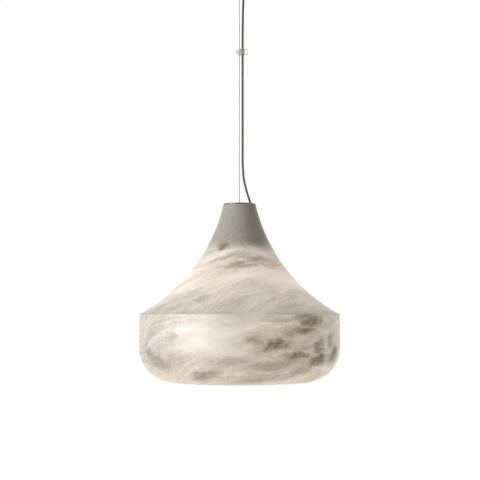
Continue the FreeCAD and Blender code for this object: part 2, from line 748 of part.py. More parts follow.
def cable_bush(inner_route):
    """Rubber bush in the cap, its bore leaning with the cable."""
    barrel, flange = t.bush_width / 2, t.bush_flange_width / 2
    top = t.bush_flange_height
    low = -t.cap_thickness - t.bush_tail
    soft = t.bush_chamfer
    blank = revolved("bush_blank", [
        (0, low), (barrel, low), (barrel, t.fit), (flange, t.fit), (flange, top - soft),
        (flange - soft, top), (0, top)], cap_top)
    place(blank, x=t.bush_offset)
    entry, elbow = inner_route[0], inner_route[1]
    above = (entry[0] * 2 - elbow[0], entry[1] * 2 - elbow[1])
    room = cable_r + t.fit
    bore = [tube("bush_lead_in", [above, entry], room, cap_top),
            tube("bush_bore", inner_route[:3], room, cap_top)]
    return cut("cable_bush", blank, bore)


def ring_piece(label, inner, outer, low, high):
    """A plain ring between two levels."""
    return revolved(label, [(inner, 0), (outer, 0), (outer, high - low), (inner, high - low)],
                    low)


def clamp_plate():
    """Steel plate that draws the stone up against the cap."""
    disc = ring_piece("clamp_plate", stud_r + t.slide_fit, t.clamp_plate_width / 2,
                      washer_top, plate_top)
    drill(disc, "plate_cable_hole", t.inner_cable_offset, 0, t.plate_cable_hole / 2)
    return disc


def tube_nut():
    prism = doc.addObject("Part::Prism", "nut_blank")
    prism.Polygon = 6
    bind(prism, "Circumradius", t.nut_flats / Size.of(3).root())
    bind(prism, "Height", t.nut_height)
    place(prism, z=nut_top - t.nut_height)
    hole = cylinder("nut_thread", stud_r, t.nut_height + 2, 0, 0, nut_top - t.nut_height - 1)
    return cut("tube_nut", prism, [hole])


# ---------------------------------------------------------------- the alabaster shade
def flare_centre(top_r, top_z, rim_r, rim_z, radius):
    """The centre of the arc that flares outwards from the neck to the ridge."""
    run, fall = rim_r - top_r, top_z - rim_z
    chord = (run * run + fall * fall).root()
    share = (radius * radius - chord * chord / 4).root() / chord
    return ((top_r + rim_r) / 2 + share * fall, (top_z + rim_z) / 2 + share * run)


def shade_cone():
    """Upper stone: a thick neck with a ledge inside, flaring in one concave arc to the ridge,
    and a lap that centres the bowl."""
    bore, neck, rim = t.neck_bore / 2, t.neck_width / 2, t.shade_width / 2
    ridge = -t.cone_height
    cut_back = t.edge_break
    top_z, rim_z = -cut_back, ridge + cut_back
    centre_x, centre_z = flare_centre(neck, top_z, rim, rim_z, t.flare_radius)
    inner = t.flare_radius + t.stone_wall

    def inner_r(z):
        return centre_x - (inner * inner - (z - centre_z) * (z - centre_z)).root()

    lap_outer = rim - t.stone_wall - t.stone_fit
    lap_inner = inner_r(ridge)
    ledge = -t.ledge_depth
    return revolved("shade_cone", [
        (bore, 0), (bore, ledge), (inner_r(ledge), ledge), (lap_inner, ridge, inner),
        (lap_inner, ridge - t.lap_height), (lap_outer, ridge - t.lap_height),
        (lap_outer, ridge), (rim - cut_back, ridge), (rim, rim_z),
        (neck, top_z, -t.flare_radius), (neck - cut_back, 0)], stone_top)


def shade_bowl():
    """Lower stone: a short upright wall, a large rounded corner and a flat bottom with a round
    opening."""
    outer, bend, wall = t.shade_width / 2, t.corner_radius, t.stone_wall
    bottom = -t.bowl_height
    hole, soft = t.opening_width / 2, t.opening_chamfer
    cut_back = t.edge_break
    return revolved("shade_bowl", [
        (outer - wall, 0), (outer - wall, bottom + bend),
        (outer - bend, bottom + wall, wall - bend), (hole, bottom + wall),
        (hole, bottom + soft), (hole + soft, bottom), (outer - bend, bottom),
        (outer, bottom + bend, bend), (outer, -cut_back), (outer - cut_back, 0)], ridge_level)


def diffuser_ring():
    """Steel ring in the bottom opening: a flange on the stone's inner floor, a collar through
    the opening and three tabs that carry the diffuser."""
    outer = t.opening_width / 2 - t.stone_fit
    inner = outer - t.ring_wall
    flange = t.opening_width / 2 + t.ring_flange_reach
    floor = t.stone_wall
    low = floor - t.ring_drop
    body = revolved("diffuser_ring", [
        (inner, low), (outer, low), (outer, floor), (flange, floor),
        (flange, floor + t.ring_sheet), (inner, floor + t.ring_sheet)], stone_bottom)
    tab = new_sketch(body, "XY_Plane", "ring_tab", low)
    half = t.tab_width / 2
    draw_outline(tab, rectangle(inner - t.tab_reach, -half, inner + 0.5, half))
    pad = feature("Pad", body, tab, t.ring_sheet)
    pattern = body.newObject("PartDesign::PolarPattern", "ring_tabs")
    pattern.Originals = [pad]
    pattern.Axis = (tab, ["N_Axis"])
    pattern.Angle = 360
    pattern.Occurrences = int(t.tab_count.value)
    body.Tip = pattern
    return body


def diffuser():
    """Opal disc that rests on the ring's tabs and lifts out."""
    rim, high = t.diffuser_width / 2, t.diffuser_thickness
    soft = t.edge_break
    low = stone_bottom + t.stone_wall - t.ring_drop + t.ring_sheet
    return revolved("diffuser", [
        (0, 0), (rim - soft, 0), (rim, soft, soft), (rim, high - soft),
        (rim - soft, high, soft), (0, high)], low)


# ---------------------------------------------------------------- lampholder and bulb
def holder_cap():
    """Moulded cap of the lampholder on the hanger tube, with the cable's hole."""
    boss, outer = t.holder_boss_width / 2, t.holder_cap_width / 2
    wall, bend = t.holder_wall, t.holder_shoulder
    shoulder = -t.holder_boss_height
    rim = shoulder - t.holder_cap_height
    body = revolved("holder_cap", [
        (stud_r, 0), (stud_r, shoulder - wall), (outer - wall, shoulder - wall),
        (outer - wall, rim), (outer, rim), (outer, shoulder - bend),
        (outer - bend, shoulder, bend), (boss, shoulder), (boss, 0)], holder_top)
    drill(body, "holder_cable_hole", t.inner_cable_offset, 0, cable_r + t.holder_cable_room)
    return body


def holder_skirt():
    """Moulded skirt that screws onto the cap and keeps the insert and the shell in place."""
    outer, cap_r = t.skirt_width / 2, t.holder_cap_width / 2 + t.slide_fit
    room = t.insert_width / 2 + t.insert_room
    mouth, bend, high = t.mouth_bore / 2, t.skirt_bend, t.skirt_height
    step = high - t.skirt_lap - t.insert_flange - t.slide_fit
    return revolved("holder_skirt", [
        (mouth, 0), (outer - bend, 0), (outer, bend, bend), (outer, high - bend / 2),
        (outer - bend / 2, high), (cap_r, high), (cap_r, step), (room, step),
        (room, t.lip_height), (mouth, t.lip_height)], skirt_bottom)


def holder_insert():
    """Ceramic insert with a flange held between cap and skirt, and holes for two conductors."""
    outer, flange = t.insert_width / 2, t.holder_cap_width / 2 - t.stone_fit
    high = t.insert_height
    seat = holder_cap_bottom - insert_bottom
    low, top = seat - t.insert_flange, seat - t.fit
    blank = revolved("insert_blank", [
        (0, 0), (outer, 0), (outer, low), (flange, low), (flange, top), (outer, top),
        (outer, high), (0, high)], insert_bottom)
    holes = [cylinder("insert_hole_%d" % i, t.insert_hole / 2, t.lead_inset + 2,
                      t.inner_cable_offset, y, insert_top - t.lead_inset - 1)
             for i, y in enumerate(holder_lead_rows())]
    return cut("holder_insert", blank, holes)


def holder_lead_rows():
    return [-t.lead_pitch, t.lead_pitch]


def holder_leads():
    """Two conductors from the cable's end into the insert."""
    low = insert_top - t.lead_inset
    leads = [cylinder("holder_lead_%d" % i, t.lead_width / 2, sheath_bottom - low,
                      t.inner_cable_offset, y, low) for i, y in enumerate(holder_lead_rows())]
    return group("holder_leads", leads)


def screw_shell():
    """Thin metal shell that takes the bulb's screw cap."""
    inner, outer = t.shell_bore / 2, t.shell_bore / 2 + t.shell_wall
    top, under, mouth = t.shell_length, t.shell_length - t.shell_wall, t.shell_top_bore / 2
    return revolved("screw_shell", [
        (inner, 0), (outer, 0), (outer, top), (mouth, top), (mouth, under), (inner, under)],
        insert_bottom - t.shell_length)


def centre_contact():
    """Sprung brass contact under the insert."""
    low, step = -t.contact_height, -t.contact_base_height
    thin, wide = t.contact_pin_width / 2, t.contact_base_width / 2
    return revolved("centre_contact", [
        (0, low), (thin, low), (thin, step), (wide, step), (wide, 0), (0, 0)], insert_bottom)


def bulb_screw_cap():
    """Screw cap with rolled threads, each a ridge between two slopes."""
    crest, tip = t.bulb_cap_width / 2, t.bulb_tip_width / 2
    root, half = crest - t.thread_depth, t.thread_crest / 2
    pitch, end = t.thread_pitch, t.bulb_cap_length
    points = [(tip, 0), (root, -t.thread_start)]
    for turn in range(int(t.thread_count.value)):
        ridge = -(t.thread_start + pitch * (turn + 0.5))
        points.append((crest, ridge + half))
        points.append((crest, ridge - half))
        points.append((root, ridge - pitch / 2))
    points.extend([(root, -end), (0, -end), (0, 0)])
    return revolved("bulb_screw_cap", points, screw_cap_top)


def bulb_contact():
    """Black insulator and tip contact on top of the screw cap."""
    wide, tip = t.bulb_tip_width / 2, t.bulb_contact_width / 2
    low, rim = -t.bulb_tip_height, -t.bulb_contact_height
    return revolved("bulb_contact", [
        (0, low), (wide, low), (tip, rim), (tip, 0), (0, 0)], bulb_top)


def bulb_collar():
    """Moulded collar that holds the driver and widens from the screw cap to the globe."""
    top = t.bulb_cap_width / 2 + t.collar_lip
    wide = radius_at_collar(t.globe_width / 2)
    high = t.bulb_collar_length
    return revolved("bulb_collar", [
        (0, 0), (wide, 0), (top, high - t.collar_shoulder, t.collar_flare),
        (top - t.collar_lip * 2, high), (0, high)], collar_bottom)


def radius_at_collar(radius):
    """How wide a sphere about the globe's centre is where the collar ends."""
    above = collar_bottom - globe_level
    return (radius * radius - above * above).root()


def bulb_globe():
    """Opal globe, open at the collar."""
    above = collar_bottom - globe_level
    outer = t.globe_width / 2
    inner = outer - t.globe_wall
    return revolved("bulb_globe", [
        (radius_at_collar(inner), above), (inner, 0, -inner), (0, -inner, -inner), (0, -outer),
        (outer, 0, outer), (radius_at_collar(outer), above, outer)], globe_level)


# ---------------------------------------------------------------- the whole lamp
upper_route, lower_route, inner_route = cable_points()
SUB_PARTS = [
    ceiling_plate(), canopy(), canopy_screws(), earth_screw(), gripper_body(),
    gripper_plunger(), wire_grip_end(), wire_grommet(), canopy_gland(), terminal_block(),
    terminal_screws(), cord_clamp(), canopy_cable(), canopy_leads(),
    suspension_wire(), wire_ferrule(), cable_clip(),
    tube("cable_upper", upper_route, cable_r, cap_top),
    tube("cable_lower", lower_route, cable_r, cap_top),
    tube("cable_inner", inner_route, cable_r, cap_top),
    neck_cap(), cable_bush(inner_route),
    ring_piece("hanger_tube", t.tube_bore / 2, stud_r - t.fit, tube_bottom, tube_top),
    ring_piece("stone_washer", t.washer_bore / 2, t.clamp_plate_width / 2 - t.washer_inset,
               plate_top, ledge_level),
    clamp_plate(),
    ring_piece("nut_washer", stud_r + t.slide_fit, t.nut_washer_width / 2, nut_top, washer_top),
    tube_nut(), shade_cone(), shade_bowl(), diffuser_ring(), diffuser(),
    holder_cap(), holder_skirt(), holder_insert(), holder_leads(), screw_shell(),
    centre_contact(), bulb_screw_cap(), bulb_contact(), bulb_collar(), bulb_globe(),
]
doc.recompute()

for thing in doc.Objects:
    if "Invalid" in thing.State or "Error" in thing.State:
        raise RuntimeError("%s did not build: %s" % (thing.Label, thing.State))
for sub_part in SUB_PARTS:
    if sub_part.Shape.isNull() or not sub_part.Shape.isValid():
        raise RuntimeError("%s has no valid shape" % sub_part.Label)

os.makedirs("parts", exist_ok=True)
for sub_part in SUB_PARTS:
    sub_part.Shape.exportStep(os.path.join("parts", sub_part.Label + ".step"))
    print("%-18s %2d solid(s) %10.0f mm3" % (sub_part.Label, len(sub_part.Shape.Solids),
                                            sub_part.Shape.Volume))
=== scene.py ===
"""Alabaster pendant lamp: the finished pieces, the studio and the camera.

Lengths are in metres in the lamp's own frame: +Z is up, the origin lies on the ceiling plate
and the power cable hangs on the +X side of the steel wire.
"""

import json
import logging
import math
from dataclasses import dataclass, field
from enum import Enum

import bmesh
import bpy
from mathutils import Matrix, Vector

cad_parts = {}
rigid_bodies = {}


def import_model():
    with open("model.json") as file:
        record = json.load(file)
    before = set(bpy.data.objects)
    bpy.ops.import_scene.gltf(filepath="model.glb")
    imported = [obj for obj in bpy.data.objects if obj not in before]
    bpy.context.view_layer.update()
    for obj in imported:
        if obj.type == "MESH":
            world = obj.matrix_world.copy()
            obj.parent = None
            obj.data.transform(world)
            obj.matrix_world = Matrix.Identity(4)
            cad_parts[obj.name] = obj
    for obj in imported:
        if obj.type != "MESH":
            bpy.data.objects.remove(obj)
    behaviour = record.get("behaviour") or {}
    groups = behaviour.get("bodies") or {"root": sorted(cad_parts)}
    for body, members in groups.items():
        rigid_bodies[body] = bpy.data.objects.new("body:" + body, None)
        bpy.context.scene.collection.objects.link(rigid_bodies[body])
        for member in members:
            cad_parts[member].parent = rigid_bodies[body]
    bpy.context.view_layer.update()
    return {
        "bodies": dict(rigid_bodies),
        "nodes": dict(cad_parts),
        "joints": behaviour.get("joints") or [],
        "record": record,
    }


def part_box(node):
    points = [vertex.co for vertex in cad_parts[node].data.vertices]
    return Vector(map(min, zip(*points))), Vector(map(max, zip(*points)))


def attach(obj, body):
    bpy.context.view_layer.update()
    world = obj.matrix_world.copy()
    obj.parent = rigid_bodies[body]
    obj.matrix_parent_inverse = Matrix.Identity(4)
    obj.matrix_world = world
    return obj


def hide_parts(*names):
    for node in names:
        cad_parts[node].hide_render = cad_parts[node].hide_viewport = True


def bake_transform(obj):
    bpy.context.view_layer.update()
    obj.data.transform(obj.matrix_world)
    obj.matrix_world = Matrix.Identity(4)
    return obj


log = logging.getLogger("pendant")

Socket = bpy.types.NodeSocket

FULL_TURN = 2 * math.pi
MERGE_DISTANCE = 1e-6
FLAT_WITHIN = math.radians(0.4)
SHARP_FROM = math.radians(32)
EASED_FROM = math.radians(40)
EASED_STEPS = 2
WHITE = (1.0, 1.0, 1.0, 1.0)

# The curve of a screen: a straight foot, then a power.
SCREEN_WHITE = 255
FOOT_END, FOOT_SLOPE = 0.04045, 12.92
CURVE_LIFT, CURVE_POWER = 0.055, 2.4


def shade_of(red: float, green: float, blue: float) -> tuple[float, float, float, float]:
    """Turn a colour as seen on a screen, 0 to 255, into the linear values of a shader.

    Args:
        red: Red as seen.
        green: Green as seen.
        blue: Blue as seen.

    Returns:
        The linear colour with an alpha of 1.
    """
    linear = []
    for part in (red, green, blue):
        part /= SCREEN_WHITE
        curved = ((part + CURVE_LIFT) / (1 + CURVE_LIFT)) ** CURVE_POWER
        linear.append(part / FOOT_SLOPE if part <= FOOT_END else curved)
    return (linear[0], linear[1], linear[2], 1.0)


def dimmed(colour: tuple, share: float) -> tuple:
    """A linear colour at a share of its brightness."""
    return tuple(part * share for part in colour[:3]) + (1.0,)


class Slot(Enum):
    """The record's finishes, passed along with new pieces but not applied to them."""

    PAINTED = "painted_metal"
    BRASS = "brass"
    NICKEL = "nickel_steel"
    WIRE = "steel_wire"
    NYLON = "nylon"
    RUBBER = "rubber"
    SHEATH = "cable_sheath"
    CLIP = "clear_clip"
    STONE = "alabaster"
    OPAL_DISC = "opal_disc"
    HOLDER = "holder_plastic"
    CERAMIC = "ceramic"
    BULB_METAL = "bulb_metal"
    INSULATOR = "bulb_insulator"
    BULB_PLASTIC = "bulb_plastic"
    OPAL_GLASS = "opal_glass"


class Body(Enum):
    """The bodies that pieces ride on."""

    CEILING = "ceiling"
    RELEASE = "release"
    SUSPENSION = "suspension"
    SHADE = "shade"
    DIFFUSER = "diffuser"
    BULB = "bulb"


# ------------------------------------------------------------------ shader graphs
class Graph:
    """A material's nodes, added and linked one by one."""

    def __init__(self, name: str) -> None:
        """Start an empty material that reads Object coordinates.

        Args:
            name: The material's name.
        """
        self.material = bpy.data.materials.new(name)
        self.material.use_nodes = True
        self.tree = self.material.node_tree
        self.tree.nodes.clear()
        self.output = self.tree.nodes.new("ShaderNodeOutputMaterial")
        self.coords = self.tree.nodes.new("ShaderNodeTexCoord").outputs["Object"]

    def add(self, kind: str, inputs: dict, **settings: object) -> bpy.types.Node:
        """Add one node.

        Args:
            kind: The node's type, without its ShaderNode prefix.
            inputs: Socket names or numbers, each with a value or a socket to link.
            settings: The node's own properties.

        Returns:
            The new node.
        """
        node = self.tree.nodes.new("ShaderNode" + kind)
        for key, value in settings.items():
            setattr(node, key, value)
        for key, value in inputs.items():
            self.plug(node.inputs[key], value)
        return node

    def plug(self, socket: Socket, value: object) -> None:
        """Link a socket to another, or set its own value.

        Args:
            socket: The node's input.
            value: A socket to link, or a plain value.
        """
        if isinstance(value, Socket):
            self.tree.links.new(value, socket)
        else:
            socket.default_value = value

    def math(self, operation: str, first: object, second: object) -> Socket:
        """One Math node and its result."""
        return self.add("Math", {0: first, 1: second}, operation=operation).outputs[0]

    def vector(self, operation: str, first: object, second: object) -> Socket:
        """One Vector Math node and its result."""
        return self.add("VectorMath", {0: first, 1: second}, operation=operation).outputs[0]

    def length(self, vector: object) -> Socket:
        """How long a vector is."""
        return self.add("VectorMath", {0: vector}, operation="LENGTH").outputs["Value"]

    def scaled(self, vector: object, factor: object) -> Socket:
        """A vector times a number."""
        return self.add("VectorMath", {0: vector, "Scale": factor},
                        operation="SCALE").outputs[0]

    def noise(self, vector: object, scale: float, detail: float = 3.0,
              roughness: float = 0.5, seed: float = 0.0) -> bpy.types.Node:
        """A noise texture whose seed picks another part of it.

        Args:
            vector: The coordinates.
            scale: How fine it is.
            detail: How many octaves it has.
            roughness: How strong the fine octaves are.
            seed: Which part of it is taken.

        Returns:
            The texture's node.
        """
        return self.add("TexNoise", {"Vector": vector, "W": seed, "Scale": scale,
                                     "Detail": detail, "Roughness": roughness},
                        noise_dimensions="4D")

    def span(self, value: object, low: float, high: float, start: float = 0.0,
             end: float = 1.0) -> Socket:
        """Ease a value from start to end as it goes from low to high.

        Args:
            value: The value.
            low: Where the easing starts.
            high: Where it ends.
            start: The result at low and before it.
            end: The result at high and past it.

        Returns:
            The eased result.
        """
        node = self.add("MapRange", {"Value": value, "From Min": low, "From Max": high,
                                     "To Min": start, "To Max": end},
                        interpolation_type="SMOOTHSTEP")
        return node.outputs["Result"]

    def blend(self, factor: object, first: object, second: object,
              mode: str = "MIX") -> Socket:
        """Mix two colours by a factor.

        Args:
            factor: The share of the second colour.
            first: The first colour.
            second: The second colour.
            mode: How they are mixed.

        Returns:
            The mixed colour.
        """
        node = self.add("Mix", {0: factor, 6: first, 7: second}, data_type="RGBA",
                        blend_type=mode)
        return node.outputs[2]

    def mottle(self, cloud: bpy.types.Node, colour: tuple, share: float, low: float,
               high: float, most: float) -> Socket:
        """Dim a colour towards a share of itself, by most of the way where a noise is high."""
        amount = self.span(cloud.outputs[0], low, high, end=most)
        return self.blend(amount, colour, dimmed(colour, share))

    def stretched(self, scale: tuple) -> Socket:
        """Object coordinates scaled along each axis."""
        return self.add("Mapping", {"Vector": self.coords, "Scale": scale}).outputs[0]

    def height(self) -> Socket:
        """The Z of the Object coordinates."""
        return self.add("SeparateXYZ", {0: self.coords}).outputs["Z"]

    def bump(self, height: object, distance: float, strength: float) -> Socket:
        """A bump from a height field, with its depth in metres."""
        node = self.add("Bump", {"Height": height, "Distance": distance, "Strength": strength})
        return node.outputs["Normal"]

    def surface(self, inputs: dict) -> bpy.types.Material:
        """Close the graph with a Principled surface.

        Args:
            inputs: The surface's sockets, with values or links.

        Returns:
            The finished material.
        """
        shader = self.add("BsdfPrincipled", inputs)
        self.tree.links.new(shader.outputs[0], self.output.inputs["Surface"])
        return self.material


# ------------------------------------------------------------------ finishes
@dataclass(frozen=True)
class Metal:
    """Satin metal with fine lines and faint handling marks."""

    name: str
    colour: tuple
    roughness: float = 0.32
    lines: tuple = (0.0, 0.0, 900.0)
    line_depth: float = 0.00002

    def make(self) -> bpy.types.Material:
        """Build the material.

        Returns:
            The finished material.
        """
        graph = Graph(self.name)
        smear = graph.noise(graph.coords, scale=60.0, detail=4.0, roughness=0.6)
        lines = graph.noise(graph.stretched(self.lines), scale=1.0, detail=2.0)
        return graph.surface({
            "Base Color": graph.mottle(smear, self.colour, share=0.8, low=0.45, high=0.75,
                                       most=0.25),
            "Metallic": 1.0,
            "Roughness": graph.span(smear.outputs[0], low=0.3, high=0.7,
                                    start=self.roughness - 0.06, end=self.roughness + 0.10),
            "Normal": graph.bump(lines.outputs[0], distance=self.line_depth, strength=0.35)})


@dataclass(frozen=True)
class Moulding:
    """Moulded plastic, nylon or rubber with a fine skin."""

    name: str
    colour: tuple
    roughness: float = 0.45
    grain: float = 1800.0
    grain_depth: float = 0.00003
    transmission: float = 0.0

    def make(self) -> bpy.types.Material:
        """Build the material.

        Returns:
            The finished material.
        """
        graph = Graph(self.name)
        skin = graph.noise(graph.coords, scale=self.grain, detail=2.0)
        mottle = graph.noise(graph.coords, scale=40.0, detail=3.0)
        return graph.surface({
            "Base Color": graph.mottle(mottle, self.colour, share=0.86, low=0.35, high=0.7,
                                       most=0.3),
            "Roughness": graph.span(mottle.outputs[0], low=0.3, high=0.7,
                                    start=self.roughness - 0.05, end=self.roughness + 0.07),
            "Transmission Weight": self.transmission,
            "Normal": graph.bump(skin.outputs[0], distance=self.grain_depth, strength=0.3)})


@dataclass(frozen=True)
class Powder:
    """Matt powder coat with a slight orange peel."""

    name: str
    colour: tuple
    roughness: float = 0.55
    peel_depth: float = 0.00005

    def make(self) -> bpy.types.Material:
        """Build the material.

        Returns:
            The finished material.
        """
        graph = Graph(self.name)
        peel = graph.noise(graph.coords, scale=900.0, detail=2.0)
        dust = graph.noise(graph.coords, scale=25.0, detail=4.0)
        return graph.surface({
            "Base Color": graph.mottle(dust, self.colour, share=0.93, low=0.4, high=0.75,
                                       most=0.35),
            "Roughness": self.roughness,
            "Normal": graph.bump(peel.outputs[0], distance=self.peel_depth, strength=0.4)})


@dataclass(frozen=True)
class Opal:
    """Opal acrylic or glass that glows evenly from the lamp behind it."""

    name: str
    colour: tuple
    glow: tuple
    strength: float
    roughness: float = 0.3

    def make(self) -> bpy.types.Material:
        """Build the material.

        Returns:
            The finished material.
        """
        graph = Graph(self.name)
        cloud = graph.noise(graph.coords, scale=18.0, detail=3.0)
        return graph.surface({
            "Base Color": graph.mottle(cloud, self.colour, share=0.95, low=0.35, high=0.7,
                                       most=0.5),
            "Roughness": self.roughness, "Emission Color": self.glow,
            "Emission Strength": self.strength})


class Cloud(Enum):
    """The clouds in the stone: the colour as seen, and how much of the light they pass."""

    OLIVE = ((116, 104, 82), 0.36)
    LILAC = ((162, 155, 152), 0.60)
    OCHRE = ((170, 148, 106), 0.85)
    GREY = ((152, 141, 127), 0.68)
    CLEAR = ((189, 184, 181), 1.14)

    @property
    def colour(self) -> tuple:
        """The linear colour."""
        return shade_of(*self.value[0])

    @property
    def passes(self) -> float:
        """The share of light that comes through, against clean stone."""
        return self.value[1]


@dataclass(frozen=True)
class Patch:
    """One cloud in the stone, placed on its outside.

    The azimuth is in degrees round from the front, towards +X; the level is the height in the
    lamp's frame. The tilt is in degrees, rising to the right as seen from outside. The cloud
    fades from the inner to the outer share of its half sizes.
    """

    kind: Cloud
    azimuth: float
    level: float
    radius: float
    half_width: float
    half_height: float
    tilt: float
    depth: float
    outer: float = 1.35
    inner: float = 0.30

    def mask(self, graph: Graph, coords: Socket) -> Socket:
        """How much of this cloud there is at a point.

        Args:
            graph: The stone's graph.
            coords: The warped coordinates that give the cloud its ragged edge.

        Returns:
            A value from 0 outside to the cloud's depth in its middle.
        """
        turn = math.radians(self.azimuth)
        place = (self.radius * math.sin(turn), -self.radius * math.cos(turn), self.level)
        sizes = (self.half_width, self.half_width, self.half_height)
        node = graph.add("Mapping", {"Vector": coords, "Location": place,
                                     "Rotation": (0.0, -math.radians(self.tilt), turn),
                                     "Scale": sizes}, vector_type="TEXTURE")
        away = graph.length(node.outputs[0])
        return graph.span(away, self.outer, self.inner, end=self.depth)


@dataclass(frozen=True)
class Glow:
    """A belt of the stone that the lamp inside lights: its two edges and their easing."""

    upper: float
    lower: float
    above: float
    below: float
    strength: float

    def amount(self, graph: Graph, level: Socket) -> Socket:
        """How strongly the belt is lit at a level.

        Args:
            graph: The stone's graph.
            level: The height of the point.

        Returns:
            A value from 0 outside the belt to its strength.
        """
        start = graph.span(level, self.upper + self.above, self.upper, end=self.strength)
        end = graph.span(level, self.lower - self.below, self.lower)
        return graph.math("MULTIPLY", start, end)


@dataclass(frozen=True)
class Alabaster:
    """Polished alabaster, lit from within, with bedding that rises to the right."""

    name: str
    patches: tuple
    glow: tuple
    seed: float
    bedding: float = 24.0
    roll: float = 0.12
    fold: float = 0.11
    bed_scale: tuple = (3.0, 3.0, 20.0)
    line_scale: tuple = (9.0, 9.0, 46.0)
    cell_scale: float = 66.0
    grain_scale: float = 135.0
    pit_scale: float = 700.0
    pit_depth: float = 0.00004
    clean: tuple = (177, 171, 162)
    pale: tuple = (202, 198, 193)
    vein: tuple = (150, 138, 124)
    fleck: tuple = (138, 127, 111)
    warm: tuple = (255, 245, 237)
    neck_level: float = -0.672
    neck_fade: float = 0.03

    def make(self) -> bpy.types.Material:
        """Build the material.

        Returns:
            The finished material.
        """
        graph = Graph(self.name)
        folds = self.drift(graph, scale=5.0, detail=1.6, amount=self.fold, seed=self.seed)
        ragged = graph.vector(
            "ADD", self.drift(graph, scale=34.0, detail=5.0, amount=0.034, seed=self.seed + 3),
            self.drift(graph, scale=190.0, detail=3.0, amount=0.007, seed=self.seed + 4))
        edges = graph.vector("ADD", graph.coords, ragged)
        beds = self.beds(graph, folds, self.bed_scale, self.seed + 7)
        lines = self.beds(graph, folds, self.line_scale, self.seed + 9, detail=9.0,
                          roughness=0.74)
        tone, through = self.stone(graph, edges, beds, lines)
        pits = graph.noise(graph.coords, scale=self.pit_scale, detail=3.0, roughness=0.6)
        return graph.surface({
            "Base Color": tone,
            "Roughness": graph.span(beds, low=0.3, high=0.7, start=0.36, end=0.50),
            "Subsurface Weight": 0.10, "Subsurface Radius": (1.0, 0.85, 0.7),
            "Subsurface Scale": 0.004,
            "Emission Color": self.light(graph, tone, through), "Emission Strength": 1.0,
            "Normal": graph.bump(pits.outputs[0], distance=self.pit_depth, strength=0.35)})

    def drift(self, graph: Graph, scale: float, detail: float, amount: float,
              seed: float) -> Socket:
        """A noisy offset about zero.

        Args:
            graph: The stone's graph.
            scale: How fine the noise is.
            detail: How many octaves it has.
            amount: How far it moves a point, in metres.
            seed: Which part of the noise it takes.

        Returns:
            The offset.
        """
        noise = graph.noise(graph.coords, scale, detail, 0.6, seed)
        return graph.scaled(graph.vector("SUBTRACT", noise.outputs["Color"],
                                         (0.5, 0.5, 0.5)), amount)

    def beds(self, graph: Graph, folds: Socket, scale: tuple, seed: float,
             detail: float = 6.0, roughness: float = 0.62) -> Socket:
        """The stone's bedding: thin tilted layers, bent by the folds.

        Args:
            graph: The stone's graph.
            folds: The offset that bends the layers.
            scale: How fine they are along each of their own axes.
            seed: Which part of the noise they take.
            detail: How many octaves they have.
            roughness: How strong the fine octaves are.

        Returns:
            The bedding as a value about 0.5.
        """
        moved = graph.vector("ADD", graph.coords, folds)
        turned = graph.add("Mapping", {"Vector": moved, "Rotation": (
            self.roll, math.radians(self.bedding), 0.0)})
        flat = graph.add("Mapping", {"Vector": turned.outputs[0], "Scale": scale})
        return graph.noise(flat.outputs[0], 1.0, detail, roughness, seed).outputs[0]

    def masks(self, graph: Graph, edges: Socket, kind: Cloud) -> object:
        """All clouds of one kind together.

        Args:
            graph: The stone's graph.
            edges: Coordinates that give clouds their ragged edges.
            kind: The kind of cloud.

        Returns:
            The larger of their masks, or 0 where there are none.
        """
        total: object = 0.0
        for patch in self.patches:
            if patch.kind is kind:
                total = graph.math("MAXIMUM", patch.mask(graph, edges), total)
        return total

    def stone(self, graph: Graph, edges: Socket, beds: Socket,
              lines: Socket) -> tuple:
        """The stone's own colour and how much light it passes.

        Args:
            graph: The stone's graph.
            edges: Coordinates that give clouds their ragged edges.
            beds: The broad bedding.
            lines: The fine lines within it.

        Returns:
            The colour and the share of light.
        """
        lit = graph.span(graph.height(), self.neck_level, self.neck_level - self.neck_fade)
        dark, light, fine, bright = (
            graph.math("MULTIPLY", graph.span(value, low, high, end=depth), lit)
            for value, low, high, depth in (
                (beds, 0.50, 0.30, 0.75), (beds, 0.50, 0.68, 0.80),
                (lines, 0.52, 0.34, 0.42), (lines, 0.50, 0.68, 0.50)))
        grains = graph.noise(edges, scale=self.grain_scale, detail=5.0, roughness=0.68,
                             seed=self.seed + 12).outputs[0]
        flecks = graph.span(grains, low=0.54, high=0.66, end=0.42)
        motes = graph.span(grains, low=0.46, high=0.34, end=0.40)
        pale, vein, fleck = (shade_of(*tone) for tone in (self.pale, self.vein, self.fleck))
        colour = shade_of(*self.clean)
        for amount, tone in ((dark, Cloud.LILAC.colour), (light, pale), (fine, vein),
                             (bright, pale), (flecks, fleck), (motes, pale)):
            colour = graph.blend(amount, colour, tone)
        more = graph.math("MULTIPLY", graph.math("ADD", light, bright), 0.28)
        less = graph.math("MULTIPLY", fine, 0.40)
        through = graph.math("SUBTRACT", graph.math("ADD", 1.0, more), less)
        net = graph.add("TexVoronoi", {"Vector": edges, "Scale": self.cell_scale,
                                       "Randomness": 1.0},
                        feature="DISTANCE_TO_EDGE").outputs["Distance"]
        cells = graph.math("MULTIPLY", graph.span(net, low=0.0, high=0.26, start=0.74),
                           graph.span(lines, low=0.60, high=0.42, start=0.55))
        for kind in (Cloud.CLEAR, Cloud.LILAC, Cloud.GREY, Cloud.OCHRE, Cloud.OLIVE):
            mask = self.masks(graph, edges, kind)
            if kind is not Cloud.CLEAR:
                mask = graph.math("MULTIPLY", mask, cells)
            colour = graph.blend(mask, colour, kind.colour)
            change = graph.math("MULTIPLY", mask, kind.passes - 1.0)
            through = graph.math("MULTIPLY", through, graph.math("ADD", 1.0, change))
        return colour, through

